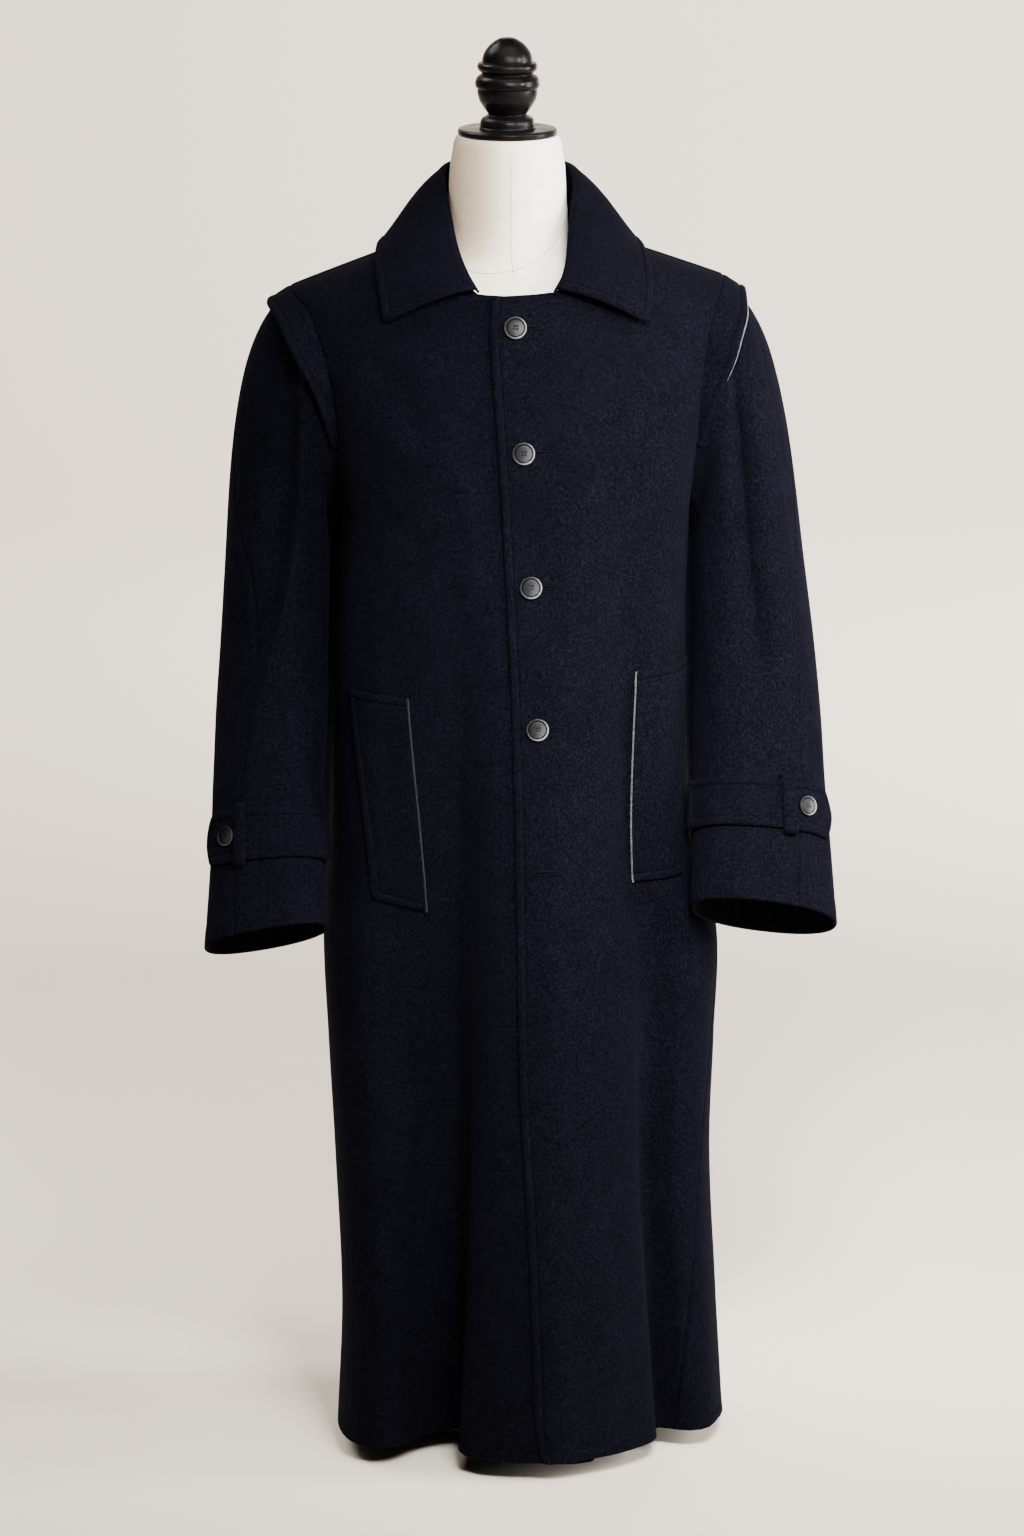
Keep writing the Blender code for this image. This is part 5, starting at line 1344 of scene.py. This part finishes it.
def make_flanges():
    start = float(level_of(FLANGE[0, 0]))
    rising = np.linspace(start, 1, FLANGE_ROWS)
    levels = np.concatenate([rising, rising[-2::-1]])
    numbers = np.arange(len(levels))
    front = numbers < FLANGE_ROWS
    end = np.isin(numbers, (0, len(levels) - 1))[:, None]
    for side, word in SIDES:
        deg = armhole_deg(side, levels)
        deg = np.where(front, deg, side * 180 - deg)
        root = coat_point(deg, levels)
        normal = coat_normal(deg, levels)
        row = along(FLANGE, rise_of(levels))
        turn = np.where(front, 1, -1) * smooth((1 - rise_of(levels)) / 0.02)
        reach = stack(side * row[:, 1], -row[:, 3] * turn, -row[:, 2])
        length = np.linalg.norm(reach, axis=1)[:, None]
        band = np.minimum(EDGE_BAND, length * 0.92 * np.array(EDGE_BAND) / EDGE_BAND[-1])
        head = FLANGE_HEAD / length
        tail = 1 - band[:, ::-1] / length
        middle = np.linspace(head[:, -1], tail[:, 0], 7, axis=1)[:, 1:-1]
        shares = np.concatenate([head, middle, tail], axis=1)
        base = root[:, None] + reach[:, None] * shares[..., None]
        normals = grid_normals(base, normal[:, None])
        normals[:, :3] = unit(mix(normal[:, None], normals[:, :3], np.array([0.0, 0.3, 0.7])[:, None]))
        base = trimmed(base, "first", gap=SEAM_GAP)
        from_edge = (1 - shares) * length
        outer, inner = edge_heights(from_edge, TRIM_WALL, STITCH_IN - 0.0005)
        plain, _ = edge_heights(from_edge, TRIM_WALL, NO_STITCH, 0.0003, 0.0)
        outer = mix(plain, outer, smooth((length - 0.010) / 0.006)) - seam_dip(shares * length) * 0.7
        outer = np.where(end, -TRIM_WALL * 0.45, outer)
        inner = np.where(end, -TRIM_WALL * 0.55, inner)
        made = shell(f"flange_{word}", base, normals, outer, inner)
        held = np.flatnonzero(length[:, 0] > 0.014)
        column = shares.shape[1] - 1 - FLANGE_STITCH
        runs = runs_along(base, outer, normals, np.s_[held[0]:held[-1] + 1, column])
        thread = stitches(f"flange_{word}_topstitch", runs)
        if side > 0:
            make_facing(base[:FLANGE_ROWS], normals)


def make_facing(base, normals):
    """The pale edge of the facing that shows under the left flange."""
    height = base[:, -1, 2]
    keep = np.flatnonzero((height > FACING_LOW_Z) & (height < FACING_HIGH_Z))
    share = (height[keep] - FACING_LOW_Z) / (FACING_HIGH_Z - FACING_LOW_Z)
    size = mix(0.35, 1.0, smooth(share))[:, None]
    ups = normals[keep, -1]
    outward = unit(base[keep, -1] - base[keep, -4])
    line = base[keep, -1] - ups * TRIM_WALL * 0.9 + outward * 0.0006
    mesh = cord_mesh("flange_left_facing", line, outward * size * 0.0009, ups * size * 0.0007, FACING)
    add_piece("flange_left_facing", mesh, "grey_binding")


# ---------------------------------------------------------------- collar

ROLL_R = 0.0026
COLLAR_CORNER = 0.006


def collar_row(u):
    row = along(COLLAR, 1 - np.abs(u))
    side = np.where(u > 0, 1, -1)
    roll = stack(side * row[..., 1] + row[..., 7], row[..., 2], row[..., 3])
    edge = stack(side * row[..., 4] + row[..., 7], row[..., 5], row[..., 6])
    return roll, edge


def fall_point(u, q):
    u, q = np.broadcast_arrays(np.asarray(u, float), np.asarray(q, float))
    roll, edge = collar_row(u)
    chord = edge - roll
    around = collar_row(np.minimum(u + 0.02, 1))[0] - collar_row(np.maximum(u - 0.02, -1))[0]
    out = unit(np.cross(around, chord))
    q = q[..., None]
    return roll + chord * q + out * COLLAR_PUFF * np.sin(math.pi * np.clip(q, 0, 1) ** 0.75)


def stand_foot(u):
    t = 1 - np.abs(u)
    foot = np.zeros(u.shape + (3,))
    for side, _ in SIDES:
        here = (u > 0) if side > 0 else (u <= 0)
        deg, level = neck_place(side, t)
        deg = np.where(t > NECK_POINT_T, 180 - deg, deg)
        lift = mix(WALL + LAY, 0.0, np.minimum(t / 0.15, 1.0)) if side > 0 else np.zeros(u.shape)
        point = coat_point(deg, level) + coat_normal(deg, level) * (lift + STAND_CLEAR)[..., None]
        foot = np.where(here[..., None], point + np.array([0, 0, STAND_CLEAR]), foot)
    return foot


def stand_point(u, q):
    u, q = np.broadcast_arrays(np.asarray(u, float), np.asarray(q, float))
    top = collar_row(u)[0] + np.array([0, 0, -0.0048])
    foot = stand_foot(u)
    return foot + (top - foot) * q[..., None]


def even_u():
    """Places round the collar, with bands at its two front ends."""
    fine = np.linspace(-1, 1, 1201)
    reach = lengths_of(fall_point(fine, 0.6))
    middle = np.linspace(EDGE_BAND[-1], reach[-1] - EDGE_BAND[-1], 130)[1:-1]
    wanted = np.concatenate([EDGE_BAND, middle, reach[-1] - np.array(EDGE_BAND[::-1])])
    return np.interp(wanted, reach, fine)


def make_collar():
    us = even_u()
    fine = np.linspace(0, 1, 200)
    qs = []
    for u in us:
        reach = lengths_of(fall_point(u, fine))
        tail = reach[-1] - np.array(EDGE_BAND[::-1])
        qs.append(np.interp(np.concatenate([np.linspace(0, tail[0], 20)[:-1], tail]), reach, fine))
    base = fall_point(us[:, None], np.array(qs))
    normals = grid_normals(base, np.array([0, 0, 1.0]))
    from_start = distance_from(base, "first", "row")
    from_finish = from_start[-1:] - from_start
    from_edge = distance_from(base, "last")
    base, nearest = round_ends(base, from_start, from_finish, from_edge, COLLAR_CORNER)
    from_roll = distance_from(base, "first")
    base, rounded = round_ends(base, from_start, from_finish, from_roll, COLLAR_CORNER)
    near_roll = np.minimum(nearest, np.maximum(rounded, from_roll))
    nearest = np.where(from_roll < COLLAR_CORNER, near_roll, nearest)
    lip_normal = normals[:, :1]
    lip_down = unit(base[:, 1:2] - base[:, :1])
    turns = np.radians([178, 150, 120, 90, 60, 30])[:, None]
    outward = lip_normal * np.cos(turns) - lip_down * np.sin(turns)
    lips = base[:, :1] + (outward - lip_normal) * ROLL_R
    base = np.concatenate([lips[:, :1] + lip_down * 0.004, lips, base], axis=1)
    normals = np.concatenate([outward[:, :1], outward, normals], axis=1)
    lip = len(turns) + 1
    nearest = np.concatenate([np.repeat(nearest[:, :1], lip, axis=1), nearest], axis=1)
    outer, inner = edge_heights(nearest, TRIM_WALL)
    inner[:, :lip] = np.maximum(inner[:, :lip], -0.0012)
    made = shell("collar_fall", base, normals, outer, inner)
    column = base.shape[1] - 1 - STITCH_LINE
    last = len(us) - 1 - STITCH_LINE
    runs = runs_along(base, outer, normals, np.s_[STITCH_LINE, lip + 2:column + 1],
                      np.s_[STITCH_LINE:last + 1, column], np.s_[last, lip + 2:column + 1])
    thread = stitches("collar_topstitch", runs)
    base = stand_point(np.linspace(-1, 1, 161)[:, None], np.linspace(0, 1, 16))
    normals = grid_normals(base, base * np.array([1, 1, 0]))
    nothing = np.zeros(base.shape[:2])
    made = shell("collar_stand", base, normals, nothing, nothing - TRIM_WALL)


# ---------------------------------------------------------------- pockets, straps and buttons

POCKET_WIDTH = 0.058
POCKET_CORNER = 0.0045
STRAP_CORNER = 0.0060
LOOP_COLUMNS = 15
LOOP_HALF_TURN = 5.6
HOLE_REACH = 0.0022
HOLE_R = 0.00095
HOLE_OFF = HOLE_REACH * 0.707
BUTTON_OUTLINE = [
    (0.0, 0.0028), (0.0050, 0.0026), (0.0080, 0.0020), (0.0087, 0.0014), (0.0093, 0.0019), (0.0098, 0.0029),
    (0.0104, 0.0031), (0.0109, 0.0027), (0.01125, 0.0019), (0.0109, 0.0010), (0.0095, 0.0002), (0.0, 0.0),
]
BUTTON_FACE = 0.0051


def make_pockets():
    for side, top_z, foot_z, top_in, top_out, foot_in, foot_out, top_rise, foot_rise in POCKETS:
        word = dict(SIDES)[side]
        down = patch_band(top_z - foot_z)[:, None]
        across = patch_band(POCKET_WIDTH, PLAIN_BAND)[None, :]
        level = mix(top_z, foot_z, down) + mix(top_rise, foot_rise, down) * across - UNDERARM_Z
        deg = mix(mix(top_in, foot_in, down), mix(top_out, foot_out, down), across)
        normals = coat_normal(deg, level)
        base = creased(coat_point(deg, level), normals)
        from_open = distance_from(base, "first")
        from_top = distance_from(base, "first", "row")
        from_foot = distance_from(base, "last", "row")
        from_side = distance_from(base, "last")
        base, nearest = round_ends(base, from_top, from_foot, from_side, POCKET_CORNER)
        outer, inner = edge_heights(nearest, TRIM_WALL)
        from_ends = np.minimum(from_top, from_foot)
        gape = 0.0012 * np.exp(-(from_open / 0.012) ** 2) * smooth(from_ends / 0.05)
        lie = TRIM_WALL + 0.0006 + 0.0012 * smooth((nearest - STITCH_IN) / 0.012) + gape
        outer = outer + lie
        made = shell(f"pocket_{word}", base, normals, outer, np.maximum(inner + lie, 0.0005))
        last, column = (size - 1 - STITCH_LINE for size in nearest.shape)
        runs = runs_along(base, outer, normals, np.s_[STITCH_LINE, 1:column + 1],
                          np.s_[STITCH_LINE:last + 1, column], np.s_[last, 1:column + 1])
        thread = stitches(f"pocket_{word}_topstitch", runs)
        ups = normals[:, 0]
        outward = unit(base[:, 0] - base[:, 2])
        line = base[:, 0] + ups * lie[:, :1] + outward * 0.0013 - ups * 0.0008
        name = f"pocket_binding_{word}"
        # the binding on the wearer's right takes the darker copy, painted shade
        mesh = cord_mesh(f"{name}_piping", line, outward * 0.0010, ups * 0.0009, GREY_TRIMS[word])
        piece = add_piece(f"{name}_piping", mesh, "grey_binding", name)


def strap_place(turns, start, tip, start_z, tip_z):
    """Places of a strap's middle line on its sleeve."""
    return mix(start_z, tip_z, (turns - start) / (tip - start)) - SLEEVE_TOP_Z


def make_straps():
    for side, start, _, tip, loop, start_z, tip_z, start_off in STRAPS:
        word = dict(SIDES)[side]
        line = (start, tip, start_z, tip_z)
        fine = np.linspace(start, tip, 500)
        reach = lengths_of(sleeve_point(side, fine, strap_place(fine, *line)))
        share = patch_band(reach[-1])
        turns = np.interp(share * reach[-1], reach, fine)[:, None]
        taper = np.minimum(1.0, mix(0.10, 1.0, (tip - turns) / STRAP_POINT))
        across = patch_band(STRAP_WIDTH) * 2 - 1
        place = strap_place(turns, *line) + across * taper * STRAP_WIDTH / 2
        base, normals = sleeve_surface(side, turns, place)
        from_side = (1 - np.abs(across)) * STRAP_WIDTH / 2 * taper
        from_start = np.broadcast_to((share * reach[-1])[:, None], place.shape)
        from_tip = ((1 - share) * reach[-1])[:, None]
        nearest = np.minimum(np.minimum(from_side, from_start), from_tip)
        pointed = turns > tip - STRAP_POINT
        nearest = np.where(pointed, np.minimum(nearest, from_side * 0.8), nearest)
        half = base.shape[0] // 2
        wide = base.shape[1] // 2
        for block in (np.s_[:half, :wide], np.s_[:half, wide:]):
            base[block], nearest[block] = round_corner(base[block], from_start[block], from_side[block],
                                                       STRAP_CORNER)
        outer, inner = edge_heights(nearest, TRIM_WALL)
        lie = TRIM_WALL + LAY + start_off * (1 - smooth((turns - start) / START_FADE))
        outer = outer + lie
        made = shell(f"cuff_strap_{word}", base, normals, outer, inner + lie)
        kept = slice(STITCH_LINE, int(np.argmax(turns[:, 0] >= tip - STRAP_POINT)))
        runs = runs_along(base, outer, normals, (kept, STITCH_LINE), (kept, -1 - STITCH_LINE))
        thread = stitches(f"cuff_strap_{word}_topstitch", runs)
        make_loop(side, word, loop, line)


def make_loop(side, word, loop, line):
    """The loop over a strap, down onto the sleeve at its two ends."""
    heights = np.linspace(-1, 1, 61)[:, None]
    to_end = 1 - np.abs(heights)
    low = LOOP_WALL + 0.0004
    lift = low + (2 * (LAY + TRIM_WALL) - low) * smooth(to_end / 0.13)
    turns = loop + np.linspace(-LOOP_HALF_TURN, LOOP_HALF_TURN, LOOP_COLUMNS)
    place = strap_place(turns, *line) + heights * (STRAP_WIDTH / 2 + 0.005)
    points, normals = sleeve_surface(side, turns, place, lift)
    normals = grid_normals(points, normals)
    from_side = np.minimum(distance_from(points, "first"), distance_from(points, "last"))
    outer, inner = edge_heights(from_side, LOOP_WALL, NO_STITCH, 0.0006, 0.0)
    outer = outer + 0.0012 * (1 - np.linspace(-1, 1, LOOP_COLUMNS) ** 2) * smooth(to_end / 0.10)
    made = shell(f"strap_loop_{word}", points, normals, outer, inner)


def curve_through(outline, parts):
    """Points on a smooth curve through an outline."""
    keyed = np.column_stack([np.arange(len(outline)), outline])
    return along(keyed, np.linspace(0, len(outline) - 1, (len(outline) - 1) * parts + 1))[:, 1:]


def lathe_mesh(name, profile, steps, look, scale=1.0, pits=None):
    """A turned solid; pits lowers its top in places."""
    turns = np.linspace(0, 2 * math.pi, steps, endpoint=False)
    inner = profile[1:-1]
    x = inner[:, :1] * np.cos(turns)
    y = inner[:, :1] * np.sin(turns)
    z = np.broadcast_to(inner[:, 1:], x.shape).copy()
    if pits is not None:
        z -= pits(x, y, z)
    ends = [[[0, 0, profile[k, 1]]] for k in (0, -1)]
    points = np.concatenate([ends[0], stack(x, y, z).reshape(-1, 3), ends[1]]) * scale
    ids = ring_ids(*x.shape, 1)
    faces = grid_faces(ids)[:, ::-1].tolist()
    faces += [(0, int(ids[0, k]), int(ids[0, k + 1])) for k in range(steps)]
    faces += [(len(points) - 1, int(ids[-1, k + 1]), int(ids[-1, k])) for k in range(steps)]
    return face_outward(mesh_from(name, points, faces, look))


def button_pits(x, y, z):
    depth = np.zeros(x.shape)
    for cx, cy in ((1, 1), (1, -1), (-1, 1), (-1, -1)):
        off = np.hypot(x - cx * HOLE_OFF, y - cy * HOLE_OFF)
        depth = np.maximum(depth, 0.0013 * (1 - smooth((off - HOLE_R * 0.55) / (HOLE_R * 0.6))))
    return depth * (z > 0.0015)


def set_on(made, point, normal):
    """Stand a piece made along Z on a point, facing along a normal."""
    made.location = point
    made.rotation_mode = "QUATERNION"
    made.rotation_quaternion = Vector(normal).to_track_quat("Z", "Y")


def make_button(name, point, normal, scale, look):
    """A four-hole button whose face has finer rings than its rim, and the cross of its thread."""
    face = curve_through(BUTTON_OUTLINE[:3], 12)
    rest = curve_through(BUTTON_OUTLINE, 4)
    rim = rest[np.flatnonzero(rest[:, 0] > BUTTON_FACE)[0]:]
    profile = np.concatenate([face[face[:, 0] <= BUTTON_FACE], rim])
    mesh = lathe_mesh(f"{name}_turned", profile, 64, look, scale, button_pits)
    runs = []
    for corner in ((1, 1), (1, -1)):
        line = np.linspace(1, -1, 12)[:, None] * HOLE_OFF * np.array(corner)
        height = 0.0017 + 0.0008 * np.sin(np.linspace(0, math.pi, 12))
        runs.append((np.column_stack([line, height]) * scale, np.tile([0.0, 0.0, 1.0], (12, 1))))
    set_on(add_piece(f"{name}_turned", mesh, "dark_button", name), point + normal * SEAM_GAP, normal)
    thread = stitches(f"{name}_thread", runs, "dark_button", pitch=0.0024 * scale, length=0.0036 * scale,
                      radius=0.00034)
    set_on(thread, point + normal * SEAM_GAP, normal)


def front_place(x, z, lift):
    """Point over a creased front at a lift, and the normal there."""
    deg, level = place_at(x, z)
    normal = coat_normal(deg, level)
    return creased(coat_point(deg, level)[None], normal[None])[0] + normal * lift, normal


def make_buttons():
    for number, z in enumerate(BUTTON_HEIGHTS, 1):
        point, normal = front_place(float(leading_x(z)) + BUTTON_INSET, z, WALL + LAY + 0.0003)
        make_button(f"front_button_{number}", point, normal, 1.0, BUTTON)
    for side, start, button, tip, _, start_z, tip_z, _ in STRAPS:
        turn = np.array([button])
        place = strap_place(turn, start, tip, start_z, tip_z)
        point, normal = sleeve_surface(side, turn, place, LAY + TRIM_WALL + 0.0006)
        # the cuff button on the wearer's right takes the darker copy: painted shade
        look = BUTTON if side > 0 else SHADED_BUTTON
        make_button(f"cuff_button_{dict(SIDES)[side]}", point[0], normal[0], 0.89, look)


def make_buttonholes():
    """Keyhole buttonholes of the left front: a ring of close stitches round a slit, with a dark strip of
    painted shadow in it.
    """
    points = []
    faces = []
    slit_points = []
    slit_faces = []
    ts = np.linspace(0, 2 * math.pi, 65)[:-1]
    run = 0.5 - 0.5 * np.cos(ts)
    eye = 0.0007 * np.exp(-((run - 0.93) / 0.06) ** 2)
    off = np.sin(ts) * (mix(0.0017, 0.0009, run) + eye) + np.sign(np.sin(ts)) * 0.0003
    turns = np.linspace(0, 2 * math.pi, 9)[:-1][None, :, None]
    ridge = 0.00055 * (1 + 0.12 * np.cos(np.arange(64) * math.pi))[:, None, None]
    for z in [*BUTTON_HEIGHTS, EMPTY_HOLE_Z]:
        start, reach = (0.016, 0.026) if z == EMPTY_HOLE_Z else (0.020, 0.031)
        xs = float(leading_x(z)) + start + run * reach
        places = zip(xs, z + off + 0.0004 * run)
        placed = [front_place(x, height, float(lap_lift(x, height)) + 0.0002) for x, height in places]
        centre, ups = np.array(placed).swapaxes(0, 1)
        across = unit(np.cross(unit(np.roll(centre, -1, axis=0) - np.roll(centre, 1, axis=0)), ups))
        oval = across[:, None] * np.cos(turns) * 1.25 + ups[:, None] * np.sin(turns)
        ids = ring_ids(64, 8, len(points))
        points += (centre[:, None] + ridge * oval).reshape(-1, 3).tolist()
        faces += grid_faces(np.concatenate([ids, ids[:1]])).tolist()
        upper = centre[1:32]
        lower = centre[63:32:-1]
        strip = np.stack([upper, (upper + lower) / 2, lower], axis=1) + ups[1:32, None] * 0.0002
        ids = len(slit_points) + np.arange(strip.shape[0] * 3).reshape(-1, 3)
        slit_points += strip.reshape(-1, 3).tolist()
        slit_faces += grid_faces(ids).tolist()
    rings = mesh_from("buttonholes", points, faces, THREAD)
    slits = mesh_from("buttonhole_slits", slit_points, slit_faces, SLIT)
    for mesh in (rings, slits):
        add_piece(mesh.name, mesh, "wool_melton")


# ---------------------------------------------------------------- dress form

FORM_STEPS = 96
FORM_SEAM_TURN = 3.4     # of the centre seam, in degrees from the front
FLAT = np.array([1, 1, 0])


def form_point(turn, z):
    row = along(FORM, z)
    side, ahead = plan_point(turn, row[..., 4])
    return stack(side * row[..., 1], -ahead * np.where(ahead > 0, row[..., 2], row[..., 3]), z)


def neck_seam_z(points):
    return 1.2490 + 0.62 * points[..., 1] + 0.09 * points[..., 0]


def make_form():
    turns = np.arange(FORM_STEPS) * 360 / FORM_STEPS
    heights = np.concatenate([FORM[:7, 0], np.linspace(1.08, FORM[-1, 0], 84)])[:, None]
    base = form_point(turns[None, :], np.broadcast_to(heights, (len(heights), FORM_STEPS)))
    near_seam = np.exp(-((base[..., 2] - neck_seam_z(base)) / 0.0012) ** 2)
    base = base - unit(base * FLAT) * (0.0003 * near_seam)[..., None]
    ids = ring_ids(*base.shape[:2])
    faces = grid_faces(ids).tolist() + [ids[0, :-1].tolist()[::-1], ids[-1, :-1].tolist()]
    mesh = face_outward(mesh_from("form_torso_cover", base.reshape(-1, 3), faces, LINEN))
    mesh.set_sharp_from_angle(angle=math.radians(50))
    add_piece("form_torso_cover", mesh, "form_linen", "form_torso")
    make_form_seams()
    disc = np.column_stack([refine(values, 6) for values in zip(*DISC_PROFILE)])
    for node, profile in (("neck_disc", disc), ("neck_finial", curve_through(FINIAL_PROFILE, 4))):
        name = f"{node}_turned"
        add_piece(name, lathe_mesh(name, profile, FORM_STEPS, LACQUER), "black_lacquer", node)


def make_form_seams():
    """The centre seam and neckline seam of the cover, and the small tack where they meet."""
    around = np.linspace(0, 360, 181)
    ring = form_point(around, np.full(around.shape, 1.22))
    for _ in range(4):
        ring = form_point(around, neck_seam_z(ring))
    centre = form_point(np.full(60, FORM_SEAM_TURN), np.linspace(ring[0, 2], FORM[-3, 0], 60))
    runs = [(line, unit(line * FLAT)) for line in (ring, centre)]
    stitches("form_seam_threads", runs, "form_linen", pitch=0.0030, length=0.0040, radius=0.00040,
             look=SEAM_THREAD)
    spot = centre[0] + np.array([[-0.0007, 0, 0], [0.0007, 0, 0]])
    facing = np.tile(unit(centre[:1] * FLAT), (2, 1))
    stitches("form_seam_tack", [(spot, facing)], "form_linen", pitch=0.0010, length=0.0018, radius=0.0008,
             look=TACK)


# ---------------------------------------------------------------- building the pieces

make_fronts()
make_back()
make_sleeves()
make_flanges()
make_collar()
make_pockets()
make_straps()
make_buttons()
make_buttonholes()
make_form()
for name in ("form_pole", "form_base"):
    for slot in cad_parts[name].material_slots:
        slot.material = STEEL

# ---------------------------------------------------------------- floor, lights and camera

FLOOR_HALF = 14.0
FLOOR_DEPTH = 5.0
FLOOR_BEND = 2.5
WHITE = (1.0, 0.995, 0.985)
WARM = (1.0, 0.985, 0.965)


def make_stage():
    """A pale floor that curves up into a backdrop."""
    profile = [(-FLOOR_HALF, 0.0), (FLOOR_DEPTH, 0.0)]
    for a in np.linspace(0.1, math.pi / 2, 16):
        profile.append((FLOOR_DEPTH + FLOOR_BEND * math.sin(a), FLOOR_BEND - FLOOR_BEND * math.cos(a)))
    profile.append((FLOOR_DEPTH + FLOOR_BEND, 12.0))
    points = [(x, y, z) for y, z in profile for x in (-FLOOR_HALF, FLOOR_HALF)]
    faces = [(2 * k, 2 * k + 1, 2 * k + 3, 2 * k + 2) for k in range(len(profile) - 1)]
    look = Look("studio_paper")
    tone = look.ramp(look.noise(0.6, 2), [(0.3, (0.775, 0.68, 0.565)), (0.7, (0.795, 0.70, 0.585))])
    paper = look.finish({"Base Color": tone, "Roughness": 0.95, "Specular IOR Level": 0.1})
    floor = bpy.data.objects.new("studio_floor", mesh_from("studio_floor", points, faces, paper))
    link(floor)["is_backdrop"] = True


def aimed(made, place, aim):
    """Put a lamp or camera at a place, turned to look at its aim."""
    made.location = place
    made.rotation_mode = "QUATERNION"
    made.rotation_quaternion = (Vector(aim) - Vector(place)).to_track_quat("-Z", "Y")
    return link(made)


def add_light(name, place, aim, size, power, colour, spread=180):
    data = bpy.data.lights.new(name, "AREA")
    data.shape = "RECTANGLE"
    data.size, data.size_y = size
    data.energy = power
    data.color = colour
    data.spread = math.radians(spread)
    aimed(bpy.data.objects.new(name, data), place, aim)


def make_lights():
    """Soft lights in front and at the wearer's left side, and lights for the floor and backdrop."""
    world = bpy.data.worlds.new("studio_air")
    world.use_nodes = True
    world.node_tree.nodes["Background"].inputs["Color"].default_value = (*WARM, 1.0)
    world.node_tree.nodes["Background"].inputs["Strength"].default_value = 0.012
    bpy.context.scene.world = world
    add_light("key", (0.35, -1.7, 2.0), (0.38, 0.0, 0.65), (0.6, 0.6), 15.0, WHITE, 45)
    add_light("front", (0.75, -1.9, 2.1), (0.2, 0.0, 0.85), (0.8, 0.8), 57.0, WHITE)
    add_light("collar", (2.0, -1.3, 2.0), (0.2, 0.0, 1.1), (0.5, 0.5), 6.5, WHITE, 40)
    add_light("side", (4.6, -0.5, 1.8), (0.0, 0.0, 0.8), (1.6, 2.4), 482.0, WHITE)
    add_light("backdrop", (1.4, 3.0, 3.6), (1.6, 8.0, 2.0), (4.0, 2.0), 640.0, WARM)
    add_light("floor", (0.3, -1.5, 4.5), (0.0, -0.2, 0.0), (4.0, 2.0), 105.0, WARM)
    add_light("floor_back", (-2.6, 1.2, 4.0), (-0.5, 0.8, 0.0), (2.0, 2.0), 180.0, WARM)
    add_light("floor_side", (1.8, 3.0, 1.2), (0.7, 3.0, 0.0), (1.0, 1.0), 50.0, WARM)


def make_camera():
    tilt = math.radians(CAMERA_TILT)
    data = bpy.data.cameras.new("view")
    data.lens = CAMERA_LENS
    data.sensor_width = 36.0
    data.clip_end = 60.0
    place = Vector(CAMERA_AIM) + Vector((0.0, -math.cos(tilt), math.sin(tilt))) * CAMERA_DISTANCE
    bpy.context.scene.camera = aimed(bpy.data.objects.new("view", data), place, CAMERA_AIM)


make_stage()
make_lights()
make_camera()


def plain(box):
    return [[float(v) for v in corner] for corner in box]


{"cad": plain(CAD_BOX), "visual": plain(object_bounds())}
